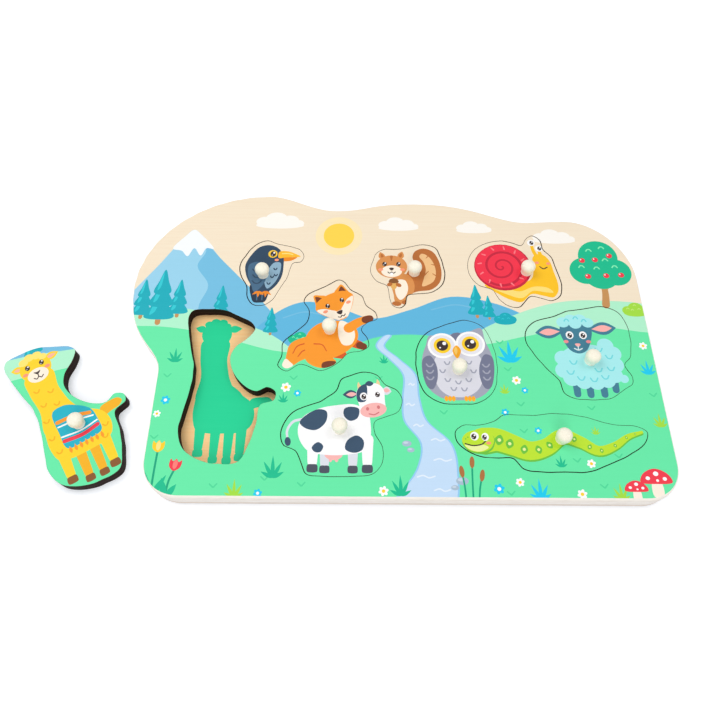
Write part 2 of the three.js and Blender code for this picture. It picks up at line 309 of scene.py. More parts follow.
for x, y, height, lean in ((39, -99, 16, -1.5), (42.5, -99, 21, 0.6), (45.5, -99, 14, 2.4)):
    paint(landscape, LEAF_DARK, stroke(0.9, (x, y), (x + 0.3 * lean, y + height / 2),
                                       (x + lean, y + height)))
    paint(landscape, REED, oval(x + lean, y + height, 2.6, 6.4, -4 * lean))
toadstool = []
paint(toadstool, STALK, curve((-0.16, -0.4), (-0.12, 0.2), (0.12, 0.2), (0.16, -0.4)))
paint(toadstool, RED, curve((-0.55, 0.1), (-0.42, 0.4), (0, 0.58), (0.42, 0.4), (0.55, 0.1), (0, 0.04)))
paint(toadstool, WHITE, oval(-0.28, 0.24, 0.15, 0.13), oval(0.02, 0.4, 0.18, 0.16),
      oval(0.3, 0.22, 0.14, 0.13), oval(0.04, 0.16, 0.1, 0.09))
stamp(landscape, toadstool, 126, -93.5, 11)
stamp(landscape, toadstool, 137, -89.5, 15)

# Face board
# The printed sheet itself, 7 mm of birch plywood. A laser cuts the nine recesses through it, which scorches
# their walls black, and the outer edge is sawn and sanded round. It is glued to the back board.

MM = 0.001
TOP_TOLERANCE = 0.01  # mm, how far a point of the top face may lie from its highest
MERGE = 1e-4  # mm, within which two points of a cut face are one
WHOLE_HULL = 0  # asks for triangles all over the cut face, also where there is no wood
LONGEST_RUN = 8  # mm, past which a straight run of a cutting line is split before it is smoothed
CUT_STEPS = 10  # straight steps between two points of a cutting line
ROUND_STEPS = 4  # straight steps round a sanded edge
# How far an edge's upper and lower corners are rounded, in millimetres, and how much more the upper one is
# where it faces the front, which is sanded the most.
SANDED = {"upper": 0.5, "lower": 0.15, "front": 1.1}
SCORCHED = {"upper": 0.06, "lower": 0.1, "front": 0}
FRONT_FALL = 4  # how fast the front's rounder sanding ends as the edge turns away
CUT_CLOSING = 0.2  # mm, by which each side of a cut is drawn out, because the real cut is only 0.3 mm wide

BIRCH = "#f7e8ce"
BIRCH_GRAIN = "#f4e2c6"
INKED_GRAIN = "#fdfdfc"  # tint of the grain where ink covers it
EDGE_RIM = "#f8f2e8"
EDGE_LONG = "#fcf9f4"
EDGE_END = "#f4efe7"
EDGE_FIBRE = "#ece6de"
CHAR = "#1f0f0a"
CHAR_PALE = "#2b1a14"
TOAST = "#4f2d16"
GRAIN_LENGTH, GRAIN_WIDTH, GRAIN_DEPTH = 55, 1.1, 0.02  # mm, of one streak of birch grain
FIBRE_LENGTH, FIBRE_WIDTH, FIBRE_DEPTH = 5, 0.22, 0.04  # mm, of the fibres on a cut edge
PLY = 1.4  # mm, thickness of one layer of the plywood
PLY_CHANGE = (0.46, 0.54)  # share of a pair of layers over which the first passes into the second
SANDED_RIM, SCORCHED_RIM = 1, 0.5  # mm, how far down an edge its upper rim fades out
LACQUER_ROUGHNESS = (0.5, 0.6)  # between the streaks, and on them
SANDED_ROUGHNESS, SCORCHED_ROUGHNESS = 0.6, 0.75
LACQUER_IOR, LACQUER_SHINE = 1.48, 0.3
WOOD_IOR, WOOD_SHINE = 1.45, 0.2


def linear(colour):
    """An sRGB hex colour as linear red, green, blue and full cover."""
    parts = [int(colour[i:i + 2], 16) / 255 for i in (1, 3, 5)]
    return (*(c / 12.92 if c <= 0.04045 else ((c + 0.055) / 1.055) ** 2.4 for c in parts), 1)


def give(tree, made, inputs):
    """Gives a node its inputs, each a value or another node's output."""
    for name, value in dict(inputs).items():
        if isinstance(value, bpy.types.NodeSocket):
            tree.links.new(value, made.inputs[name])
        else:
            made.inputs[name].default_value = value


def node(tree, kind, inputs=(), **settings):
    """Adds a node with its settings and its inputs."""
    made = tree.nodes.new(kind)
    for name, value in settings.items():
        setattr(made, name, value)
    give(tree, made, inputs)
    return made


def new_material(name):
    """A new material, with its node tree and the shader of its surface."""
    material = bpy.data.materials.new(name)
    material.use_nodes = True
    return material, material.node_tree, material.node_tree.nodes["Principled BSDF"]


def printed_plywood(name, pale, grain):
    """Sanded birch plywood under flat ink and satin lacquer: long faint streaks along the sheet, plain where
    the wood is bare and only just seen through the ink, with a soft sheen that follows them."""
    material, tree, surface = new_material(name)
    place = node(tree, "ShaderNodeAttribute", attribute_name="sheet_mm").outputs["Vector"]
    stretched = node(tree, "ShaderNodeMapping", {
        "Vector": place, "Scale": (1 / GRAIN_LENGTH, 1 / GRAIN_WIDTH, 1)}).outputs["Vector"]
    noise = node(tree, "ShaderNodeTexNoise", {
        "Vector": stretched, "Scale": 1, "Detail": 4, "Roughness": 0.6, "Distortion": 0.6}).outputs["Fac"]
    streaks = node(tree, "ShaderNodeMapRange", {
        "Value": noise, "From Min": 0.35, "From Max": 0.8}).outputs["Result"]
    wood = node(tree, "ShaderNodeMix", {0: streaks, 6: linear(pale), 7: linear(grain)},
                data_type="RGBA").outputs[2]
    ink = node(tree, "ShaderNodeAttribute", attribute_name="ink")
    laid = node(tree, "ShaderNodeMix", {0: streaks, 6: ink.outputs["Color"], 7: linear(INKED_GRAIN)},
                data_type="RGBA", blend_type="MULTIPLY").outputs[2]
    seen = node(tree, "ShaderNodeMix", {0: ink.outputs["Alpha"], 6: wood, 7: laid},
                data_type="RGBA").outputs[2]
    least, most = LACQUER_ROUGHNESS
    sheen = node(tree, "ShaderNodeMapRange", {
        "Value": streaks, "To Min": least, "To Max": most}).outputs["Result"]
    relief = node(tree, "ShaderNodeBump", {
        "Height": streaks, "Strength": 0.15, "Distance": GRAIN_DEPTH * MM}).outputs["Normal"]
    give(tree, surface, {"Base Color": seen, "Roughness": sheen, "Normal": relief, "IOR": LACQUER_IOR,
                         "Specular IOR Level": LACQUER_SHINE})
    return material


def plywood_edge(name, long_grain, end_grain, rim, rim_depth, roughness):
    """The cut edge of plywood: level layers, by turns along and across the grain, with fine level fibres,
    and along its top the thin rim that sandpaper or the laser leaves."""
    material, tree, surface = new_material(name)
    place = node(tree, "ShaderNodeAttribute", attribute_name="sheet_mm").outputs["Vector"]
    height = node(tree, "ShaderNodeSeparateXYZ", {"Vector": place}).outputs["Z"]
    pair = node(tree, "ShaderNodeMath", {0: height, 1: 2 * PLY}, operation="DIVIDE").outputs[0]
    share = node(tree, "ShaderNodeMath", {0: pair}, operation="FRACT").outputs[0]
    first, last = PLY_CHANGE
    across = node(tree, "ShaderNodeMapRange", {
        "Value": share, "From Min": first, "From Max": last}).outputs["Result"]
    stretched = node(tree, "ShaderNodeMapping", {
        "Vector": place, "Scale": (1 / FIBRE_LENGTH, 1 / FIBRE_LENGTH, 1 / FIBRE_WIDTH)}).outputs["Vector"]
    noise = node(tree, "ShaderNodeTexNoise", {
        "Vector": stretched, "Scale": 1, "Detail": 3, "Roughness": 0.65}).outputs["Fac"]
    fibres = node(tree, "ShaderNodeMapRange", {
        "Value": noise, "From Min": 0.4, "From Max": 0.75}).outputs["Result"]
    layers = node(tree, "ShaderNodeMix", {0: across, 6: linear(long_grain), 7: linear(end_grain)},
                  data_type="RGBA").outputs[2]
    fibred = node(tree, "ShaderNodeMix", {0: fibres, 6: layers, 7: linear(EDGE_FIBRE)},
                  data_type="RGBA", blend_type="MULTIPLY").outputs[2]
    near_top = node(tree, "ShaderNodeMapRange", {
        "Value": height, "From Min": -rim_depth, "From Max": 0}).outputs["Result"]
    seen = node(tree, "ShaderNodeMix", {0: near_top, 6: fibred, 7: linear(rim)}, data_type="RGBA").outputs[2]
    relief = node(tree, "ShaderNodeBump", {
        "Height": fibres, "Strength": 0.3, "Distance": FIBRE_DEPTH * MM}).outputs["Normal"]
    give(tree, surface, {"Base Color": seen, "Roughness": roughness, "Normal": relief, "IOR": WOOD_IOR,
                         "Specular IOR Level": WOOD_SHINE})
    return material


lacquered_birch = printed_plywood("lacquered birch plywood", BIRCH, BIRCH_GRAIN)
sanded_edge = plywood_edge("sanded plywood edge", EDGE_LONG, EDGE_END, EDGE_RIM, SANDED_RIM,
                           SANDED_ROUGHNESS)
scorched_edge = plywood_edge("laser scorched edge", CHAR, CHAR_PALE, TOAST, SCORCHED_RIM, SCORCHED_ROUGHNESS)


def boundary_lines(triangles):
    """Runs of corners round the edge of some triangles, which lie on their left. The longest comes first."""
    sides = {(int(a), int(b)) for t in triangles for a, b in zip(t, np.roll(t, -1))}
    follow = {a: b for a, b in sorted(sides) if (b, a) not in sides}
    lines = []
    while follow:
        line = [min(follow)]
        while line[-1] in follow:
            line.append(follow.pop(line[-1]))
        lines.append(line[:-1])
    return sorted(lines, key=len, reverse=True)


def cut_lines(cad_node):
    """The lines cut round a CAD node's top face, made smooth, in millimetres: its outline first."""
    mesh = frame["nodes"][cad_node].data
    points = np.array([v.co for v in mesh.vertices]) / MM
    places, same = np.unique(points.round(3), axis=0, return_inverse=True)
    triangles = same.ravel()[np.array([p.vertices[:] for p in mesh.polygons])]
    top = triangles[(places[triangles, 2] > places[:, 2].max() - TOP_TOLERANCE).all(1)]
    lines = []
    for run in boundary_lines(top):
        corners = places[run, :2]
        split = []
        for start, end in zip(corners, np.roll(corners, -1, 0)):
            count = math.ceil(np.linalg.norm(end - start) / LONGEST_RUN)
            split.extend(between(start, end, 0, count, i) for i in range(count))
        lines.append(curve(*split, steps=CUT_STEPS))
    return sorted(lines, key=lambda line: np.ptp(line, axis=0).prod(), reverse=True)


def inside(loop, points):
    """Which of the points a closed loop winds round."""
    found = np.zeros(len(points), bool)
    near = ((points > loop.min(0)) & (points < loop.max(0))).all(1)
    x, y = points[near].T[:, :, None]
    x0, y0 = loop.T
    x1, y1 = np.roll(loop, -1, 0).T
    side = (x1 - x0) * (y - y0) - (x - x0) * (y1 - y0)
    up = (y0 <= y) & (y1 > y) & (side > 0)
    down = (y0 > y) & (y1 <= y) & (side < 0)
    found[near] = up.sum(1) != down.sum(1)
    return found


def printed_face(lines, picture):
    """Cuts a flat face along its lines and along every change of ink. Returns points, triangles and inks."""
    low, high = lines[0].min(0), lines[0].max(0)
    near = [(ink, loop) for ink, loop in picture
            if (loop.max(0) > low).all() and (loop.min(0) < high).all()]
    sides = []
    corners = []
    for loop in [*lines, *(loop for ink, loop in near)]:
        first = len(corners)
        corners.extend(Vector(point) for point in loop)
        sides.extend((i, i + 1) for i in range(first, len(corners) - 1))
        sides.append((len(corners) - 1, first))
    points, _, triangles, *_ = delaunay_2d_cdt(corners, sides, [], WHOLE_HULL, MERGE, False)
    points, triangles = np.array(points), np.array(triangles)
    middles = points[triangles].mean(1)
    kept = inside(lines[0], middles)
    for line in lines[1:]:
        kept &= ~inside(line, middles)
    used, triangles = np.unique(triangles[kept], return_inverse=True)
    middles = middles[kept]
    inks = np.zeros((len(middles), 4))
    for ink, loop in near:
        inks[inside(loop, middles)] = linear(ink)
    return points[used], triangles.reshape(-1, 3), inks


def outward(line):
    """At each point of a line with wood on its left, the direction away from the wood."""
    along = np.roll(line, -1, 0) - np.roll(line, 1, 0)
    away = along @ np.array([[0, -1], [1, 0]])
    return away / np.linalg.norm(away, axis=1)[:, None]


def rounding(line, edge):
    """How far the upper corner of an edge is rounded at each point of its line."""
    facing = np.clip(-outward(line)[:, 1:], 0, 1)
    return edge["upper"] + edge["front"] * facing ** FRONT_FALL


def edge_rings(line, edge, low, high):
    """Rings of points that lead down a cut edge, from just under the printed face to the underside."""
    upper = rounding(line, edge)
    lower = np.full_like(upper, edge["lower"])
    turns = np.linspace(0, math.pi / 2, ROUND_STEPS + 1)
    profile = [(upper * math.sin(a), high - upper * (1 - math.cos(a))) for a in turns[1:]]
    profile += [(upper - lower * (1 - math.cos(a)), low + lower * (1 - math.sin(a))) for a in turns]
    return [np.hstack([line + outward(line) * out, z]) for out, z in profile]


def add_object(name, data):
    """A new object in the scene that shows some data."""
    made = bpy.data.objects.new(name, data)
    bpy.context.scene.collection.objects.link(made)
    return made


def cut_sheet(name, cad_node, lines, picture, edges, materials, moved=lambda points: points):
    """A sheet of plywood, printed on top and cut through along lines. edges are for the outline and then for
    the lines inside it, and materials for the faces and then for those edges. moved takes points of the
    sheet to where the piece lies."""
    low, high = (corner.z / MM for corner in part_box(cad_node))
    flat = [line - outward(line) * rounding(line, edges[i > 0]) for i, line in enumerate(lines)]
    points, triangles, inks = printed_face(flat, picture)
    places = [np.insert(points, 2, high, axis=1)]
    faces = triangles.tolist()
    slots = [0] * len(faces)
    feet = []
    count = len(points)
    # Walls, ring by ring, round the outline and then round each opening
    for number, run in enumerate(boundary_lines(triangles)):
        above = run
        for ring in edge_rings(points[run], edges[number > 0], low, high):
            below = list(range(count, count + len(run)))
            count += len(run)
            places.append(ring)
            for i in range(len(run)):
                faces.append((below[i - 1], below[i], above[i], above[i - 1]))
            above = below
        slots += [1 + (number > 0)] * (len(faces) - len(slots))
        feet.append(above)
    places = np.concatenate(places)
    walls_end = len(faces)
    # Underside
    corners = [i for foot in feet for i in foot]
    for triangle in tessellate_polygon([[Vector(places[i]) for i in foot] for foot in feet]):
        a, b, c = (corners[i] for i in triangle)
        faces_up = np.cross(places[b, :2] - places[a, :2], places[c, :2] - places[a, :2]) > 0
        faces.append((a, c, b) if faces_up else (a, b, c))
    slots += [0] * (len(faces) - len(slots))
    # Mesh, which keeps the ink of each corner and where each point lies on the sheet, down from its face
    laid = np.column_stack([moved(places[:, :2]), places[:, 2]])
    mesh = bpy.data.meshes.new(name)
    mesh.from_pydata(laid * MM, [], faces)
    smooth = np.zeros(len(faces), bool)
    smooth[len(triangles):walls_end] = True
    mesh.polygons.foreach_set("use_smooth", smooth)
    mesh.polygons.foreach_set("material_index", slots)
    inked = np.zeros((len(mesh.loops), 4))
    inked[:triangles.size] = np.repeat(inks, 3, axis=0)
    mesh.attributes.new("ink", "FLOAT_COLOR", "CORNER").data.foreach_set("color", inked.ravel())
    in_sheet = (places - (0, 0, high)).ravel()
    mesh.attributes.new("sheet_mm", "FLOAT_VECTOR", "POINT").data.foreach_set("vector", in_sheet)
    for material in materials:
        mesh.materials.append(material)
    return add_object(name, mesh)


outline, *recesses = cut_lines("face_board")
recesses = [line + outward(line) * CUT_CLOSING for line in recesses]
face_board = cut_sheet("printed_face_board", "face_board", [outline, *recesses], landscape,
                       (SANDED, SCORCHED), (lacquered_birch, sanded_edge, scorched_edge))
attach(face_board, "board")
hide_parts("face_board")

# Llama piece
# The largest piece, cut from the printed sheet by the laser, so its edge is scorched. It lies on the table
# at the left, turned a little, and its knob stands on the blanket.

DARK = "#3b2c2a"
BLUSH = "#ff9d7a"
CREAM = "#fff2de"
WOOL = "#ffd61f"
WOOL_SHADE = "#f6b40f"
WOOL_LIGHT = "#ffe873"
HOOF = "#8a5526"
BLANKET = "#12b4c9"
BLANKET_STRIPE = "#ff9a1f"
EAR_PINK = "#ffb9a0"
LLAMA_SEAT = (-89, -43.67)  # where its knob stands when the piece is in its recess
LLAMA_TURN = 30.5  # degrees, anticlockwise from how it sits there
SETTLED = {"llama": (0, 0), "blackbird": (0.16, 0), "fox": (0.06, -0.12), "squirrel": (-0.16, 0.02),
           "snail": (-0.16, 0.02), "cow": (0.14, -0.08), "owl": (0.15, 0.02), "sheep": (0.11, -0.11),
           "snake": (0.06, 0.14)}  # mm, how far each piece has slid to one side of its recess


def knob_place(animal):
    """Where a CAD knob stands on the sheet, in millimetres."""
    low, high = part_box(f"{animal}_knob")
    return np.array((low + high).xy) / 2 / MM


def cut_piece(animal, picture, seat=None, turn=0):
    """Cuts an animal out of the printed sheet, with the hole for its knob, and lays it where the CAD has it,
    settled a little to one side."""
    lies = knob_place(animal)
    seat = lies if seat is None else seat
    lines = [placed(line - lies, *seat, -turn) for line in cut_lines(f"{animal}_piece")]
    lines[0] = lines[0] + outward(lines[0]) * CUT_CLOSING
    piece = cut_sheet(f"{animal}_cutout", f"{animal}_piece", lines, landscape + picture,
                      (SCORCHED, SCORCHED), (lacquered_birch, scorched_edge, scorched_edge),
                      lambda points: placed(points - seat, *(lies + SETTLED[animal]), turn))
    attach(piece, animal)
    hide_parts(f"{animal}_piece")


def eye(picture, x, y, size):
    """A dark eye with two glints."""
    paint(picture, DARK, oval(x, y, size, 1.2 * size))
    paint(picture, WHITE, oval(x + 0.16 * size, y + 0.26 * size, 0.36 * size),
          oval(x - 0.18 * size, y - 0.24 * size, 0.18 * size))


def leg(picture, ink, hoof, x, top, low, width):
    """A straight leg on a flat hoof."""
    paint(picture, ink, stroke(1.25 * width, (x, top), (x, low + width), tip=0.96 * width))
    paint(picture, hoof, placed(curve((-0.47, 0.74), (0, 0.8), (0.47, 0.74), (0.55, 0.2), (0.46, 0),
                                      (-0.46, 0), (-0.55, 0.2)), x, low, size=width))


llama = []
paint(llama, WOOL_SHADE, curve((-76, -40.5), (-70, -39), (-65.5, -39.4), (-64, -41.8), (-66.5, -44.2),
                               (-71, -45), (-76, -46)))
leg(llama, WOOL_SHADE, HOOF, -93.6, -56, -77, 4.6)
leg(llama, WOOL_SHADE, HOOF, -86.2, -56, -77.5, 4.6)
leg(llama, WOOL, HOOF, -102, -54, -73.6, 5)
leg(llama, WOOL, HOOF, -79.6, -54, -75.8, 5)
paint(llama, WOOL, curve(
    (-106, -38), (-102, -31), (-94, -29), (-88, -31.4), (-81, -37.8), (-75.5, -42.5), (-73.3, -49),
    (-75, -56.5), (-80, -59.8), (-88, -60.5), (-98, -60.5), (-104.5, -58.5), (-107, -51), (-107, -44)))
paint(llama, WOOL, curve((-106.3, -42), (-105.2, -27), (-107, -14), (-106.5, -4), (-91.5, -4), (-91.4, -16),
                         (-89.5, -26), (-86, -38), (-96, -46)))
marks(llama, WOOL_SHADE, 3, 1.3, (-102.8, -14), (-96, -17.5), (-102, -24), (-95.4, -26.5), (-103.6, -34),
      (-104.2, -45), (-103, -54), (-76.6, -51), (-79, -57.4))
paint(llama, BLANKET, curve((-99.5, -30.4), (-93, -29.2), (-87.6, -31.8), (-80.6, -38.2), (-79.2, -46),
                            (-79.6, -53), (-89, -54.6), (-98.8, -54), (-100, -44)))
paint(llama, RED, stroke(2.2, (-99, -49.4), (-89, -50.4), (-80.4, -48.8)))
paint(llama, BLANKET_STRIPE, stroke(2.2, (-99, -37.4), (-90, -37.8), (-82, -40.2)))
paint(llama, WHITE, stroke(0.9, (-99.5, -46.6), (-89, -47.7), (-79.8, -46.2)),
      stroke(0.9, (-99.4, -40.2), (-90, -40.8), (-80.8, -42.6)))
paint(llama, BLANKET_STRIPE, *(leaf(x, -53.2, 4.4, 1.7, -90, 0.6) for x in np.arange(-97.6, -80, 2.9)))
paint(llama, WOOL, leaf(-104.5, 3.2, 7.4, 4.6, 168, 0.5), leaf(-93.5, 3.6, 9, 4.8, 6, 0.5))
paint(llama, EAR_PINK, leaf(-105.5, 3.3, 5, 2.2, 168, 0.5), leaf(-92.4, 3.7, 6.4, 2.4, 6, 0.5))
paint(llama, WOOL, oval(-99, 0.6, 17.5, 17))
paint(llama, WOOL_LIGHT, oval(-104, 7, 5.4, 4.6), oval(-100.4, 8.6, 5.6, 4.8), oval(-96.2, 8.2, 5.6, 4.8),
      oval(-93.4, 6, 4.6, 4))
paint(llama, CREAM, oval(-99, -4.2, 11.6, 9))
paint(llama, DARK, curve((-100.9, -1.7), (-99, -2.1), (-97.1, -1.7), (-99, -3.7)),
      stroke(0.6, (-99, -3.2), (-99, -5.2)),
      stroke(0.6, (-101.6, -5.4), (-100.3, -6.4), (-99, -5.4), (-97.7, -6.4), (-96.4, -5.4)))
paint(llama, BLUSH, oval(-105.2, -1.2, 3.2, 2.2), oval(-92.8, -1.2, 3.2, 2.2))
eye(llama, -103, 2.6, 2.7)
eye(llama, -95, 2.6, 2.7)
cut_piece("llama", llama, LLAMA_SEAT, LLAMA_TURN)

# Blackbird piece
# A small piece at the top left of the board, cut from the printed sheet. It rests loose in its recess, and
# its knob is glued into the wing.

NAVY = "#2b465f"
NAVY_LIGHT = "#456a88"
NAVY_DARK = "#1f3448"
BREAST = "#8fb2c9"
BEAK = "#ffbe2b"
BEAK_SHADE = "#f08a1a"
EYE_RING = "#ffcf3a"

blackbird = []
paint(blackbird, NAVY_DARK, curve((-81, 31), (-80, 22), (-78.4, 18.6), (-75, 18.2), (-72, 18.8),
                                  (-70.4, 22.5), (-70, 31)))
paint(blackbird, NAVY_LIGHT, stroke(0.7, (-76.8, 27), (-76.6, 20)), stroke(0.7, (-73.6, 27), (-73.6, 20.2)))
paint(blackbird, BEAK_SHADE, curve((-65, 50.6), (-58, 50.6), (-54.2, 50.6), (-57.5, 48.2), (-62, 47.6),
                                   (-65.5, 48)))
paint(blackbird, NAVY, curve(
    (-72, 59.6), (-66.2, 57.4), (-62.8, 51.8), (-62.2, 44), (-62.8, 37), (-66, 30), (-71, 25.6),
    (-77.2, 26), (-81.2, 31), (-84.4, 38), (-85.2, 45), (-82, 52.6), (-77.6, 58)))
paint(blackbird, BREAST, curve((-64.2, 46.5), (-64.2, 39), (-67, 32), (-71, 28), (-73, 33), (-71.4, 41),
                               (-68, 46.5)))
marks(blackbird, NAVY, 1.8, 0.9, (-67, 42), (-68.6, 36.4), (-70.4, 31.6), (-66.4, 37.6))
paint(blackbird, NAVY_LIGHT, curve((-82.6, 45.5), (-76, 47), (-71.6, 42.5), (-72, 35), (-75.5, 28),
                                   (-78.6, 25.6), (-80.6, 30.5), (-83.2, 38)))
marks(blackbird, NAVY, 5.4, 1.6, (-78, 41), (-77.5, 36.8), (-77.6, 32.6))
paint(blackbird, BEAK, curve((-65.2, 54.6), (-60, 55), (-55, 53), (-52.2, 51.2), (-57, 50.7), (-61.5, 50.4),
                             (-65.4, 50)))
paint(blackbird, STRAW, stroke(0.7, (-63.4, 53.2), (-60, 53.4), (-57, 52.6)))
paint(blackbird, EYE_RING, oval(-69.2, 53, 5.6))
eye(blackbird, -69, 53, 3.4)
paint(blackbird, BLUSH, oval(-66.6, 48.6, 2.6, 1.8))
for x in (-76, -71.6):
    paint(blackbird, BEAK_SHADE, *(leaf(x, 26.2, 4.4, 1.5, turn, 0.4) for turn in (215, 268, 320)))
cut_piece("blackbird", blackbird)

# Fox piece
# A middle-sized piece left of the board's middle, cut from the printed sheet. It rests loose in its recess,
# and its knob is glued into the body.

RUST = "#fb9a24"
RUST_DARK = "#d9591d"
SOCK = "#7a3b1d"
FOX_HEAD = {"x": -29.5, "y": 16.4, "turn": 27}  # where the middle of its head is, and its tilt

fox = []
paint(fox, RUST, curve(
    (-43, -4.5), (-50, -5.6), (-55.4, -9.4), (-56.8, -15), (-57.4, -19), (-58.9, -22.6), (-56.6, -24.4),
    (-52.6, -22.4), (-49, -19.8), (-45, -17.8), (-41, -15)))
paint(fox, CREAM, curve((-57.2, -18.4), (-58.9, -22.6), (-56.6, -24.4), (-52.8, -22.5), (-54.6, -20.4)))
paint(fox, RUST_DARK, stroke(0.9, (-46, -8.4), (-51, -10.4), (-53.4, -15), tip=0.5),
      stroke(0.9, (-44, -12), (-48, -13.6), (-50.4, -17), tip=0.5))
paint(fox, RUST_DARK, stroke(6, (-22, -7), (-16, -9.4), (-13.8, -10.4), tip=4.2))
paint(fox, SOCK, stroke(4.4, (-15.6, -9.6), (-13.6, -10.3), tip=4.2))
paint(fox, RUST_DARK, stroke(7, (-31, -14), (-25.6, -15.6), tip=5.2))
paint(fox, RUST, curve(
    (-40, 4), (-32, 6.5), (-23, 5), (-17.4, 0.6), (-17, -6), (-21, -11.8), (-27, -16), (-34, -18.6),
    (-41, -18.2), (-46, -14), (-47, -7.4), (-45, -1)))
paint(fox, CREAM, curve((-27, 6.4), (-20.4, 3), (-18.4, -3.4), (-20.6, -9), (-25, -9.4), (-28, -3)))
paint(fox, RUST, curve((-46, -13), (-40.6, -7.4), (-33.6, -10), (-31.6, -16.4), (-28.8, -20.2),
                       (-30.6, -22.4), (-37, -24), (-43.6, -21.6), (-46.4, -18)))
paint(fox, SOCK, curve((-33, -19.6), (-28.8, -20.2), (-30.6, -22.4), (-36.6, -23.9), (-36.6, -21)))
paint(fox, RUST_DARK, stroke(0.8, (-41.6, -8.8), (-37, -9.4), (-34.4, -13.4), tip=0.5))
paint(fox, RUST, stroke(6.2, (-22, 1.6), (-15.8, 5.8), (-10.6, 7.9), tip=4.6))
paint(fox, SOCK, stroke(4.8, (-12.4, 7.2), (-10, 8), tip=4.4))
head = []
for side in (-1, 1):
    paint(head, RUST, curve((side * 10.6, 3.4), (side * 10.2, 8), (side * 8.9, 12.2), (side * 5.6, 10.8),
                            (side * 2.4, 8.4), (side * 4, 3)))
    paint(head, SOCK, curve((side * 9.3, 6), (side * 9.2, 8.6), (side * 8.4, 11), (side * 6.4, 9.6),
                            (side * 5, 7.6)))
paint(head, RUST, curve(
    (-12, 2.6), (-9.4, 6.8), (-4, 8.8), (4, 8.8), (9.4, 6.8), (12, 2.6), (9.6, -2.4), (6, -6.4),
    (2.2, -9.6), (-2.2, -9.6), (-6, -6.4), (-9.6, -2.4)))
for side in (-1, 1):
    paint(head, CREAM, curve((side * 11.6, 2), (side * 7.6, 1.4), (side * 3.6, -1.6), (side * 1.6, -3.4),
                             (side * 1.4, -6), (side * 2.2, -9.4), (side * 6, -6.2), (side * 9.4, -2.2)))
    paint(head, BLUSH, oval(side * 7.4, -0.8, 3, 2))
    eye(head, side * 4.6, 2.2, 2.6)
paint(head, CREAM, oval(0, -6.4, 6.4, 6))
paint(head, DARK, curve((-1.9, -4.2), (0, -3.6), (1.9, -4.2), (0, -6.4)),
      stroke(0.6, (-2.2, -7.2), (-1, -8), (0, -7.2), (1, -8), (2.2, -7.2)))
stamp(fox, head, **FOX_HEAD)
cut_piece("fox", fox)

# Squirrel piece
# A small piece at the top of the board, cut from the printed sheet. It rests loose in its recess, and its
# knob is glued into the root of the tail.

TAN = "#dd9350"
TAN_DARK = "#bd6f33"
TAN_LIGHT = "#f3c389"
ACORN = "#e8b25f"
ACORN_CUP = "#8a5528"

squirrel = []
paint(squirrel, TAN_DARK, curve(
    (11, 24.4), (19, 26.6), (27, 28), (32, 33), (33.4, 40), (32, 49), (28.6, 55.4), (23, 57.6), (18, 55.6),
    (16.2, 51.4), (17, 47), (14.6, 43), (12, 38)))
paint(squirrel, TAN_LIGHT, curve((21.5, 30.2), (28.2, 33.6), (30, 40), (28.6, 47.4), (25.6, 52), (22, 53.8),
                                 (20.4, 51.6), (22.8, 47.6), (24, 42), (22.6, 35.6)))
for root, end in (((31, 37), (28, 39.2)), ((30.8, 45), (27.4, 46)), ((23, 38), (25.6, 41)),
                  ((26.6, 53), (24.4, 50.4))):
    paint(squirrel, TAN_DARK, stroke(0.9, root, end, tip=0.4))
paint(squirrel, TAN, curve((5.4, 38), (12.6, 38.6), (16.4, 33.6), (16.6, 27.4), (13.6, 22), (11, 19),
                           (7.4, 17.6), (5, 19.6), (4.4, 24), (3.4, 30)))
paint(squirrel, CREAM, curve((6.4, 34.4), (11.2, 34.4), (13, 29), (11.2, 23), (8.2, 20.6), (6, 23.4),
                             (5.2, 29)))
paint(squirrel, TAN_DARK, oval(6, 18, 5.4, 3.2, -8), oval(11.4, 19, 4.8, 3, 10))
paint(squirrel, TAN, leaf(-1.6, 49.2, 6, 4, 108), leaf(8.4, 49.6, 6, 4, 74))
paint(squirrel, TAN_DARK, leaf(-1.7, 50.2, 3.8, 1.8, 108), leaf(8.5, 50.6, 3.8, 1.8, 74))
paint(squirrel, TAN, oval(3.4, 44.2, 19, 16.4))
paint(squirrel, CREAM, oval(3.4, 40.8, 12.4, 8.4))
paint(squirrel, TAN_DARK, stroke(1.8, (3.4, 51.4), (3.4, 48.6), tip=0.6))
paint(squirrel, DARK, curve((1.9, 43), (3.4, 43.5), (4.9, 43), (3.4, 41.3)),
      stroke(0.6, (1.2, 40.2), (2.3, 39.4), (3.4, 40.3), (4.5, 39.4), (5.6, 40.2)))
paint(squirrel, WHITE, curve((2.7, 39.6), (4.1, 39.6), (4, 37.9), (2.8, 37.9)))
paint(squirrel, BLUSH, oval(-3.2, 42, 3, 2), oval(10, 42, 3, 2))
eye(squirrel, -0.8, 46, 2.7)
eye(squirrel, 7.6, 46, 2.7)
paint(squirrel, ACORN, curve((2.1, 33), (2.5, 30), (4.5, 27.6), (6.5, 30), (6.9, 33)))
paint(squirrel, ACORN_CUP, curve((1.5, 33), (2.3, 35), (4.5, 35.8), (6.7, 35), (7.5, 33), (4.5, 32.2)))
paint(squirrel, TAN_DARK, oval(2.1, 31.4, 3.4, 2.6, 30), oval(7.4, 31, 3.6, 2.6, -30))
cut_piece("squirrel", squirrel)

# Snail piece
# A middle-sized piece at the top right, cut from the printed sheet. It rests loose in its recess, and its
# knob is glued in where the shell meets the neck.

SHELL = "#f5304a"
SHELL_DARK = "#c81f3c"
SHELL_LIGHT = "#ff7c86"
SNAIL = "#ffc61a"
SNAIL_LIGHT = "#ffe27a"
SPIRAL_TURNS = 2.45
SPIRAL_POINTS = 40
SPIRAL_PITCH = 5.7  # mm between two turns
SPIRAL_START = 34  # degrees, the way in which it leaves its middle

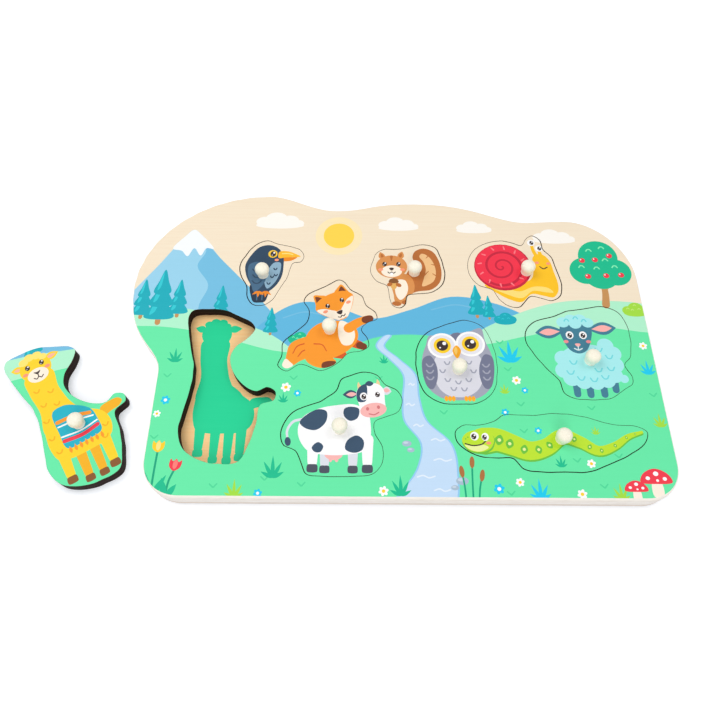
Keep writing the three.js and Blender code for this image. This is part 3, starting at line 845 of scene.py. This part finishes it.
snail = []
paint(snail, SNAIL, curve(
    (58.6, 31.4), (66, 25.4), (72.5, 21.4), (79.5, 19.6), (86, 25.2), (93, 24), (98.6, 23), (101.8, 27),
    (102.4, 33), (101, 41), (99.6, 48.4), (96.6, 53), (92.6, 54), (89.4, 51.4), (89.2, 45), (87, 36),
    (80, 33), (68, 34)))
paint(snail, SNAIL_LIGHT, curve((61, 30.6), (72, 24.6), (80, 22.4), (87, 27.4), (95, 26.4), (99, 26.4),
                                (96, 29.6), (88, 30.4), (79, 27), (70, 29.6)))
paint(snail, SNAIL, stroke(2.4, (92, 52), (90.2, 57), (89.6, 62.4), tip=1.8),
      stroke(2.4, (95.4, 51), (94, 55), (94, 58.2), tip=1.8))
for x, y in ((89.6, 62.4), (94, 58.2)):
    paint(snail, WHITE, oval(x, y, 4.6))
    eye(snail, x + 0.3, y, 2.5)
paint(snail, DARK, stroke(0.7, (93, 44.8), (95, 43.2), (97.4, 44.4)))
paint(snail, BLUSH, oval(98.4, 47, 2.6, 1.9), oval(91.6, 47.6, 2.6, 1.9))
paint(snail, SHELL_DARK, oval(70.6, 44.3, 34.6, 33.6))
paint(snail, SHELL, oval(70.4, 45, 33, 31.6))
spiral = []
for turns in SPIRAL_TURNS * np.linspace(0.02, 1, SPIRAL_POINTS):
    spiral.append(placed((turns * SPIRAL_PITCH, 0), 70, 44.6, SPIRAL_START - 360 * turns))
paint(snail, SHELL_DARK, stroke(1, *spiral, tip=1.7))
for turn in range(20, 350, 30):
    paint(snail, SHELL_LIGHT, placed(stroke(1.1, (12.9, 0), (14.7, 0.7), tip=0.7), 70.4, 44.8, turn))
cut_piece("snail", snail)

# Cow piece
# A large piece at the front of the board, cut from the printed sheet. It rests loose in its recess, and its
# knob is glued into the flank.

MILK = "#fdfdff"
MILK_SHADE = "#dfe2ec"
PATCH = "#36506a"
PINK = "#fbb9b6"
PINK_DARK = "#d9787c"
HORN = "#f2d39a"
COW_HOOF = "#4a4f5e"
COW_HEAD = {"x": -9.4, "y": -42, "turn": 10}  # where the middle of its head is, and its tilt

cow = []
paint(cow, MILK_SHADE, stroke(1.6, (-46, -54.6), (-51, -56), (-54, -61), (-53.6, -66), tip=1.2))
paint(cow, PATCH, oval(-53.4, -67.2, 3.2, 5, 8))
leg(cow, MILK_SHADE, COW_HOOF, -33.6, -68, -84, 4.8)
leg(cow, MILK_SHADE, COW_HOOF, -19, -68, -84, 4.8)
paint(cow, PINK, oval(-29, -74, 9.6, 6.4), oval(-30.6, -77, 1.8, 2.6), oval(-27.4, -77, 1.8, 2.6))
leg(cow, MILK, COW_HOOF, -40, -66, -83.6, 5.2)
leg(cow, MILK, COW_HOOF, -11.4, -66, -83.8, 5.2)
paint(cow, MILK, curve(
    (-46, -53.4), (-38, -48.6), (-28, -46.4), (-18, -46), (-11.4, -50), (-9.6, -58), (-10, -66), (-13, -72),
    (-22, -74.2), (-33, -74.4), (-42, -72.6), (-46.8, -67), (-48.4, -60)))
paint(cow, PATCH, curve((-44.6, -52.4), (-38, -48.8), (-33.4, -50), (-33.6, -56), (-38.6, -60.6),
                        (-44.6, -59.6), (-47.6, -56.4)),
      curve((-22, -66.4), (-17, -63.6), (-13.4, -66.4), (-14, -71.4), (-18.4, -73.2), (-23, -71.2)),
      curve((-40.6, -70.4), (-37.4, -67.4), (-34.6, -69.6), (-36, -72.8), (-39, -72.8)),
      curve((-20.6, -47.2), (-16, -48.4), (-16.6, -53.6), (-20.6, -55.4), (-24, -52.4), (-23.8, -48.4)))
head = []
for side, reach, turn, ink in ((-1, 8.6, 174, PATCH), (1, 5.6, -18, MILK_SHADE)):
    paint(head, ink, leaf(side * 6.4, 3.6, reach, 5, turn, 0.5))
    paint(head, PINK, leaf(side * 7.2, 3.6, 0.7 * reach, 2.6, turn, 0.5))
    paint(head, HORN, curve((side * 3, 6.6), (side * 5.8, 6), (side * 6.2, 8.4), (side * 5.2, 10.6),
                            (side * 4.6, 8.8)))
paint(head, MILK, curve((-7.6, 4), (-5, 7.6), (0, 8.8), (5, 7.6), (7.6, 4), (7.2, -2), (6, -8), (0, -10),
                        (-6, -8), (-7.2, -2)))
paint(head, PATCH, curve((-7.4, 4), (-5, 7.6), (-1.4, 8.6), (-1.6, 3), (-3.4, -1.4), (-7.2, -1)),
      curve((-1.8, 8.7), (0, 10.2), (1.6, 9.8), (2.8, 8.3), (0.6, 7)))
paint(head, PINK, oval(0, -7.2, 14.4, 8.4))
paint(head, PINK_DARK, oval(-3, -6, 1.7, 2.1), oval(3, -6, 1.7, 2.1),
      stroke(0.7, (-2.6, -9), (0, -9.9), (2.6, -9)))
paint(head, MILK, oval(-3.8, 1.6, 4, 4.6))
eye(head, -3.8, 1.4, 2.6)
eye(head, 3.8, 1.4, 2.6)
stamp(cow, head, **COW_HEAD)
cut_piece("cow", cow)

# Owl piece
# A round piece right of the board's middle, cut from the printed sheet. It rests loose in its recess, and
# its knob is glued into the breast.

FEATHER = "#a4a7b8"
FEATHER_DARK = "#737891"
FEATHER_LIGHT = "#dcdce6"
FACE_DISC = "#e9e9f1"
OWL_BEAK = "#ffae1a"
OWL_BEAK_LIGHT = "#ffd06a"

owl = []
paint(owl, FEATHER, curve(
    (23.8, -3.4), (30, -3.6), (38.6, -1.8), (46.6, -0.4), (53.6, 1.8), (55.4, -6), (58.6, -16), (59, -27),
    (56, -36), (49.4, -41.6), (39, -43.2), (29, -41.8), (22.2, -36), (19.2, -27), (19.4, -17), (21.8, -9)))
paint(owl, FEATHER_LIGHT, curve((27, -17), (33, -14), (45, -13), (51.4, -16), (53.4, -26), (50, -36),
                                (44, -40.6), (38.8, -41.4), (33, -40.4), (28, -36), (25.4, -27)))
marks(owl, FEATHER, 3, 1.5, (33, -31), (38.8, -32.4), (44.6, -31), (36, -36.4), (41.8, -36.6), (30.4, -25.6),
      (47.6, -25.6), (33.2, -20.6), (45.4, -20.2))
paint(owl, FEATHER_DARK, curve((19.8, -18), (23.6, -16), (27, -21.5), (27.4, -30), (24.6, -36.6),
                               (22.2, -36), (19.4, -28)),
      curve((58.6, -16.6), (54.8, -15), (51.6, -20.4), (50.8, -29), (53.4, -36), (56, -36), (58.8, -28)),
      curve((36.6, -2.2), (41.4, -1.4), (41.2, -5.6), (39, -10.4), (37, -5.8)))
for x in (23.4, 54.8):
    marks(owl, FEATHER, 3.8, 1.4, (x, -22), (x, -26), (x, -30))
for x, y in ((31, -9.6), (47, -8.4)):
    paint(owl, WHITE, oval(x, y, 16.6, 16))
    paint(owl, FACE_DISC, oval(x, y, 14, 13.4))
    paint(owl, YELLOW, oval(x, y, 9.8))
    paint(owl, DARK, oval(x, y, 6.6))
    paint(owl, WHITE, oval(x + 1.2, y + 1.4, 2.2), oval(x - 1.3, y - 1.3, 1))
paint(owl, OWL_BEAK, curve((39, -9.4), (41.4, -12.6), (39, -17.8), (36.6, -12.6)))
paint(owl, OWL_BEAK_LIGHT, curve((38.6, -10.4), (39.4, -12.6), (38.6, -15.4), (37.4, -12.6)))
for x in (33.6, 44.4):
    paint(owl, OWL_BEAK, *(oval(x + toe, -42.2, 2, 3.2) for toe in (-2, 0, 2)))
cut_piece("owl", owl)

# Sheep piece
# A large piece at the right of the board, cut from the printed sheet. It rests loose in its recess, and its
# knob is glued into the fleece.

FLEECE = "#a8eef0"
FLEECE_SHADE = "#74dbe2"
SLATE = "#3f7f96"
SHEEP_PINK = "#ffb3ae"
SHEEP_BLUSH = "#f58f92"
SHEEP_SMILE = "#d9eef2"

sheep = []
for x, low in ((103.6, -41), (110.8, -41.4), (118.4, -41.2), (125, -38.4)):
    paint(sheep, SLATE, stroke(4.2, (x, -30), (x, low + 2), tip=3.8))
paint(sheep, FLEECE, oval(130.6, -29.6, 5), oval(112.6, -20.6, 35, 25))
for x, y in ((98.4, -17), (97.8, -24.6), (101.6, -29.4), (108, -31.2), (115, -31.6), (121, -30.4),
             (125.6, -27.4), (127.2, -21), (127, -14), (123.4, -9)):
    paint(sheep, FLEECE, oval(x, y, 9.4))
marks(sheep, FLEECE_SHADE, 4, 1.9, (101.6, -25.8), (107, -29.4), (114, -30.2), (120.4, -28.6),
      (124.4, -23.4), (124.6, -16), (119.4, -11.6), (104, -19.6), (117.4, -24.2))
paint(sheep, SLATE, leaf(101.6, 0.4, 17, 8.4, 184, 0.55), leaf(114.6, 1.6, 17, 8.4, 4, 0.55))
paint(sheep, SHEEP_PINK, leaf(99, 0.2, 12, 4.4, 184, 0.55), leaf(117.2, 1.8, 12, 4.4, 4, 0.55))
paint(sheep, SLATE, curve((98.8, 1), (101, 6), (108, 8), (115, 6), (117.2, 1), (115.8, -5.6), (112.6, -12),
                          (108, -14), (103.4, -12), (100.2, -5.6)))
paint(sheep, FLEECE, oval(101.4, 6.2, 7.4, 6.7), oval(106.2, 8, 7.6, 6.8), oval(111.4, 8.2, 7.6, 6.8),
      oval(115.6, 6, 7, 6.3), oval(108.4, 5.4, 7.4, 6.7))
marks(sheep, FLEECE_SHADE, 2.6, -1.2, (103.6, 7.6), (109, 9.2), (113.6, 7.4))
for x in (104.2, 111.8):
    paint(sheep, WHITE, oval(x, -2.2, 4.4, 5))
    eye(sheep, x, -2.4, 2.7)
paint(sheep, SHEEP_PINK, curve((106.4, -8), (108, -7.5), (109.6, -8), (108, -9.8)))
paint(sheep, SHEEP_SMILE, stroke(0.7, (105.8, -10.8), (108, -11.8), (110.2, -10.8)),
      stroke(0.6, (108, -9.4), (108, -11.4)))
paint(sheep, SHEEP_BLUSH, oval(101.6, -6.4, 2.8, 2), oval(114.4, -6.4, 2.8, 2))
cut_piece("sheep", sheep)

# Snake piece
# A long piece at the front right, cut from the printed sheet. It rests loose in its recess, and its knob is
# glued into the middle bend.

SNAKE_GREEN = "#bfe62a"
SNAKE_SHADE = "#6cc33c"
BELLY = "#eef7a2"
SPINE = ((50, -66), (57, -65.6), (65, -68.4), (74, -71.6), (83, -69.4), (92, -63.6), (101, -66.6),
         (110, -71.4), (119, -68.6), (127, -63.4), (134.4, -61))
SNAKE_WIDTH, TAIL_WIDTH = 14, 1.6

snake = []
paint(snake, SNAKE_SHADE, stroke(SNAKE_WIDTH + 0.4, *((x, y - 0.9) for x, y in SPINE), tip=TAIL_WIDTH))
paint(snake, SNAKE_GREEN, stroke(SNAKE_WIDTH, *SPINE, tip=TAIL_WIDTH))
back = curve(*SPINE, closed=False)
for share in np.arange(0.12, 0.95, 0.075):
    here = int(share * len(back))
    (x, y), (ahead_x, ahead_y) = back[here], back[here + 1]
    diamond = []
    paint(diamond, SNAKE_SHADE, curve((-2.6, 0), (0, 3.4), (2.6, 0), (0, -3.4)))
    paint(diamond, BELLY, oval(0, 0, 2.2))
    stamp(snake, diamond, x, y, 1 - 0.85 * share, math.degrees(math.atan2(ahead_y - y, ahead_x - x)))
paint(snake, SNAKE_SHADE, curve((38.6, -67), (41, -63), (46, -60.8), (52, -61.6), (56, -65), (54, -71.4),
                                (47.4, -73.6), (41.4, -71.8)))
paint(snake, SNAKE_GREEN, curve((38.6, -66), (41, -62.2), (46, -60.4), (52, -61.2), (55.6, -64.8),
                                (53.6, -70.4), (47.4, -72.6), (41.4, -71)))
paint(snake, BELLY, curve((40, -68.6), (44, -69.4), (50, -68.6), (52.4, -70), (47.4, -72.3), (42, -70.9)))
paint(snake, DARK, stroke(0.7, (40.2, -68), (44.4, -69), (49, -68.2), (51, -66.6)))
paint(snake, WHITE, oval(45.4, -63.8, 4.4, 4.8), oval(51, -64.2, 3.8, 4.4))
eye(snake, 45, -64, 2.7)
eye(snake, 50.6, -64.4, 2.4)
paint(snake, SNAKE_SHADE, oval(40.6, -65.4, 0.9, 0.7), oval(41.8, -64.4, 0.9, 0.7))
paint(snake, BLUSH, oval(52.6, -67.6, 2.6, 1.7))
cut_piece("snake", snake)

# Back board
# A 3 mm plywood sheet of the same outline, warmer and coarser than the face, glued under it as the floor of
# the recesses. Each animal's shape is printed there in one green, to show where its piece belongs.

BACK = "#ffd799"
BACK_GRAIN = "#fbc580"
SHAPE_GREEN = "#0cd798"
BACK_EDGE_LONG = "#efe6dd"
BACK_EDGE_END = "#e6dbd0"
BACK_EDGE = {"upper": 0.15, "lower": 0.5, "front": 0}
BACK_EDGE_RIM = 0.5  # mm
BACK_EDGE_ROUGHNESS = 0.65

back_plywood = printed_plywood("bare back plywood", BACK, BACK_GRAIN)
back_edge = plywood_edge("back plywood edge", BACK_EDGE_LONG, BACK_EDGE_END, BACK_EDGE_END, BACK_EDGE_RIM,
                         BACK_EDGE_ROUGHNESS)
drawings = (llama, blackbird, fox, squirrel, snail, cow, owl, sheep, snake)
shapes = [(SHAPE_GREEN, loop) for drawing in drawings for ink, loop in drawing]
back_board = cut_sheet("plywood_back_board", "back_board", cut_lines("back_board"), shapes,
                       (BACK_EDGE, BACK_EDGE), (back_plywood, back_edge))
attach(back_board, "board")
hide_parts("back_board")

# Knobs
# Nine pegs turned from pale wood, each a domed head on a short neck, with a dowel that is glued into a hole
# through the middle of its piece.

KNOB_SIZES = {
    "Head Radius": 4.2 * MM, "Neck Radius": 3.3 * MM, "Waist Radius": 3 * MM, "Dowel Radius": 2.2 * MM,
    "Neck Height": 3.4 * MM, "Widest Height": 5.4 * MM, "Knob Height": 8.6 * MM, "Dowel Length": 6.5 * MM}
KNOB_SIDES = 48
BEND_STEPS, CROWN_STEPS = 6, 12  # straight steps along the bends of the profile, and over the crown
KNOB_WOOD = "#fffbe9"
KNOB_GRAIN = "#f9f0da"
KNOB_GRAIN_LENGTH, KNOB_GRAIN_WIDTH, KNOB_GRAIN_DEPTH = 8, 0.5, 0.03  # mm
KNOB_ROUGHNESS, KNOB_IOR = 0.55, 1.46
PATH_RADIUS = 10 * MM  # of the circle that the profile is led round, which it is then drawn back by
POLE_MERGE = 0.01 * MM  # within which points at the two ends of the knob are one
SHARP_ANGLE = math.radians(40)


def turned_wood():
    """Pale close-grained wood, turned and sanded: faint upright grain that shows as specks on the crown."""
    material, tree, surface = new_material("turned pale wood")
    place = node(tree, "ShaderNodeTexCoord").outputs["Object"]
    fine, long = 1 / (KNOB_GRAIN_WIDTH * MM), 1 / (KNOB_GRAIN_LENGTH * MM)
    stretched = node(tree, "ShaderNodeMapping", {
        "Vector": place, "Scale": (fine, fine, long)}).outputs["Vector"]
    noise = node(tree, "ShaderNodeTexNoise", {
        "Vector": stretched, "Scale": 1, "Detail": 3, "Roughness": 0.6}).outputs["Fac"]
    grain = node(tree, "ShaderNodeMapRange", {
        "Value": noise, "From Min": 0.4, "From Max": 0.72}).outputs["Result"]
    seen = node(tree, "ShaderNodeMix", {0: grain, 6: linear(KNOB_WOOD), 7: linear(KNOB_GRAIN)},
                data_type="RGBA").outputs[2]
    relief = node(tree, "ShaderNodeBump", {
        "Height": grain, "Strength": 0.2, "Distance": KNOB_GRAIN_DEPTH * MM}).outputs["Normal"]
    give(tree, surface, {"Base Color": seen, "Roughness": KNOB_ROUGHNESS, "Normal": relief, "IOR": KNOB_IOR})
    return material


# Sizes that the knob's tree takes
knob_tree = bpy.data.node_groups.new("turned knob", "GeometryNodeTree")
knob_tree.interface.new_socket("Seat", in_out="INPUT", socket_type="NodeSocketVector")
for size in KNOB_SIZES:
    knob_tree.interface.new_socket(size, in_out="INPUT", socket_type="NodeSocketFloat")
knob_tree.interface.new_socket("Sides", in_out="INPUT", socket_type="NodeSocketInt")
knob_tree.interface.new_socket("Wood", in_out="INPUT", socket_type="NodeSocketMaterial")
knob_tree.interface.new_socket("Knob", in_out="OUTPUT", socket_type="NodeSocketGeometry")

# Profile, from the middle of the dowel's end up to the top
sizes = node(knob_tree, "NodeGroupInput").outputs
down = node(knob_tree, "ShaderNodeMath", {0: 0.0, 1: sizes["Dowel Length"]}, operation="SUBTRACT").outputs[0]
half_neck = node(knob_tree, "ShaderNodeMath", {0: sizes["Neck Height"], 1: 0.5},
                 operation="MULTIPLY").outputs[0]
corner = {}
for name, radius, height in (
        ("dowel middle", 0.0, down), ("dowel end", sizes["Dowel Radius"], down),
        ("dowel root", sizes["Dowel Radius"], 0.0), ("neck foot", sizes["Neck Radius"], 0.0),
        ("waist", sizes["Waist Radius"], half_neck),
        ("neck top", sizes["Neck Radius"], sizes["Neck Height"]),
        ("undercut", sizes["Head Radius"], sizes["Neck Height"]),
        ("widest", sizes["Head Radius"], sizes["Widest Height"]),
        ("crown", sizes["Head Radius"], sizes["Knob Height"]), ("top", 0.0, sizes["Knob Height"])):
    corner[name] = node(knob_tree, "ShaderNodeCombineXYZ", {"X": radius, "Y": height}).outputs["Vector"]
runs = []
for a, b in (("dowel middle", "dowel end"), ("dowel end", "dowel root"), ("dowel root", "neck foot")):
    runs.append(node(knob_tree, "GeometryNodeCurvePrimitiveLine", {"Start": corner[a], "End": corner[b]}))
for steps, a, b, c in ((BEND_STEPS, "neck foot", "waist", "neck top"),
                       (BEND_STEPS, "neck top", "undercut", "widest"),
                       (CROWN_STEPS, "widest", "crown", "top")):
    runs.append(node(knob_tree, "GeometryNodeCurveQuadraticBezier", {
        "Resolution": steps, "Start": corner[a], "Middle": corner[b], "End": corner[c]}))
joined = node(knob_tree, "GeometryNodeJoinGeometry")
for run in runs:
    knob_tree.links.new(run.outputs["Curve"], joined.inputs["Geometry"])
wire = node(knob_tree, "GeometryNodeCurveToMesh", {"Curve": joined.outputs["Geometry"]}).outputs["Mesh"]
chain = node(knob_tree, "GeometryNodeMergeByDistance", {
    "Geometry": wire, "Distance": POLE_MERGE}).outputs["Geometry"]
profile = node(knob_tree, "GeometryNodeMeshToCurve", {"Mesh": chain}).outputs["Curve"]

# Lathe, which leads the profile round a circle and stands the knob on its seat
led = node(knob_tree, "GeometryNodeTransform", {
    "Geometry": profile, "Translation": (-PATH_RADIUS, 0, 0), "Scale": (1, -1, 1)}).outputs["Geometry"]
path = node(knob_tree, "GeometryNodeCurvePrimitiveCircle", {
    "Resolution": sizes["Sides"], "Radius": PATH_RADIUS}).outputs["Curve"]
turned = node(knob_tree, "GeometryNodeCurveToMesh", {"Curve": path, "Profile Curve": led}).outputs["Mesh"]
closed = node(knob_tree, "GeometryNodeMergeByDistance", {
    "Geometry": turned, "Distance": POLE_MERGE}).outputs["Geometry"]
seat = node(knob_tree, "GeometryNodePoints", {"Count": 1, "Position": sizes["Seat"]}).outputs["Points"]
stood = node(knob_tree, "GeometryNodeInstanceOnPoints", {
    "Points": seat, "Instance": closed}).outputs["Instances"]
real = node(knob_tree, "GeometryNodeRealizeInstances", {"Geometry": stood}).outputs["Geometry"]
finished = node(knob_tree, "GeometryNodeSetMaterial", {
    "Geometry": real, "Material": sizes["Wood"]}).outputs["Geometry"]
node(knob_tree, "NodeGroupOutput", {"Knob": finished})

knob_inputs = {**KNOB_SIZES, "Sides": KNOB_SIDES, "Wood": turned_wood()}
for body in frame["bodies"]:
    if body == "board":
        continue
    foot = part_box(f"{body}_piece")[1].z
    knob_inputs["Seat"] = (*((knob_place(body) + SETTLED[body]) * MM), foot)
    blank = add_object(f"{body}_blank", bpy.data.meshes.new(f"{body}_blank"))
    lathe = blank.modifiers.new("lathe", "NODES")
    lathe.node_group = knob_tree
    for socket in knob_tree.interface.items_tree:
        if socket.in_out == "INPUT":
            lathe[socket.identifier] = knob_inputs[socket.name]
    shape = bpy.data.meshes.new_from_object(blank.evaluated_get(bpy.context.evaluated_depsgraph_get()))
    bpy.data.objects.remove(blank)
    work = bmesh.new()
    work.from_mesh(shape)
    bmesh.ops.recalc_face_normals(work, faces=work.faces)
    work.to_mesh(shape)
    work.free()
    shape.shade_smooth()
    shape.set_sharp_from_angle(angle=SHARP_ANGLE)
    knob = add_object(f"{body}_turned_knob", shape)
    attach(knob, body)
    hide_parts(f"{body}_knob")

# Table, light and camera
# A white table top under three broad soft lamps and an even pale surround, seen from above the front edge as
# in the photograph. The table isn't part of the puzzle.

TABLE_SIZE = 6  # m
TABLE_WHITE = "#f4f4f8"
TABLE_GLOW = "#f3fdff"
TABLE_ROUGHNESS, TABLE_SHINE = 0.8, 0.2
# Glow that only the camera and reflections see, which brings the table up to white near the board and far
# from it, and how far from the board's middle it starts and ends to rise, in metres.
NEAR_LIFT, FAR_LIFT = 0.3, 0.6
LIFT_START, LIFT_END = 0.3, 1.2
SURROUND = "#f8faff"
SURROUND_STRENGTH = 0.5
SHOWN_STRENGTH = 1.07  # of the surround where the camera sees it, as white as the table
LAMPS = (("left lamp", (-0.5, 0.25, 0.95), 4.3), ("right lamp", (0.7, 0.3, 1.4), 4.4),
         ("front lamp", (0, -1.1, 0.7), 4.4))  # place in metres, and power in watts
LAMP_SIZE = 0.7  # m
LAMP_COLOUR = "#fffcf8"
CAMERA_PLACE = (-0.0149, -0.1802, 0.3327)
CAMERA_TURN = (26.54, -0.08, 0.35)  # degrees: tilt from straight down, roll, and turn about the vertical
CAMERA_LENS = 32.18  # mm, on a 36 mm frame

scene = bpy.context.scene
scene.view_settings.view_transform = "Standard"

# Matt white paint, lifted to plain white where the camera sees it, which keeps the puzzle's shadow
half = TABLE_SIZE / 2
table_mesh = bpy.data.meshes.new("table")
table_mesh.from_pydata([(-half, -half, 0), (half, -half, 0), (half, half, 0), (-half, half, 0)], [],
                       [(0, 1, 2, 3)])
table = add_object("table", table_mesh)
table_paint, tree, surface = new_material("white table")
ray = node(tree, "ShaderNodeLightPath").outputs
shown = node(tree, "ShaderNodeMath", {0: ray["Is Camera Ray"], 1: ray["Is Glossy Ray"]},
             operation="MAXIMUM").outputs[0]
place = node(tree, "ShaderNodeTexCoord").outputs["Object"]
distance = node(tree, "ShaderNodeVectorMath", {0: place}, operation="LENGTH").outputs["Value"]
glow = node(tree, "ShaderNodeMapRange", {"Value": distance, "From Min": LIFT_START, "From Max": LIFT_END,
                                         "To Min": NEAR_LIFT, "To Max": FAR_LIFT}).outputs["Result"]
lift = node(tree, "ShaderNodeMath", {0: shown, 1: glow}, operation="MULTIPLY").outputs[0]
give(tree, surface, {
    "Base Color": linear(TABLE_WHITE), "Roughness": TABLE_ROUGHNESS, "Specular IOR Level": TABLE_SHINE,
    "Emission Color": linear(TABLE_GLOW), "Emission Strength": lift})
table_mesh.materials.append(table_paint)

world = bpy.data.worlds.new("pale surround")
scene.world = world
world.use_nodes = True
ray = node(world.node_tree, "ShaderNodeLightPath").outputs
strength = node(world.node_tree, "ShaderNodeMix", {
    0: ray["Is Camera Ray"], 2: SURROUND_STRENGTH, 3: SHOWN_STRENGTH}, data_type="FLOAT").outputs[0]
give(world.node_tree, world.node_tree.nodes["Background"], {"Color": linear(SURROUND), "Strength": strength})

for name, place, power in LAMPS:
    light = bpy.data.lights.new(name, "AREA")
    light.size = LAMP_SIZE
    light.energy = power
    light.color = linear(LAMP_COLOUR)[:3]
    lamp = add_object(name, light)
    lamp.location = place
    lamp.rotation_euler = (-lamp.location).to_track_quat("-Z", "Y").to_euler()

view = bpy.data.cameras.new("camera")
view.lens = CAMERA_LENS
camera = add_object("camera", view)
camera.location = CAMERA_PLACE
camera.rotation_euler = [math.radians(angle) for angle in CAMERA_TURN]
scene.camera = camera
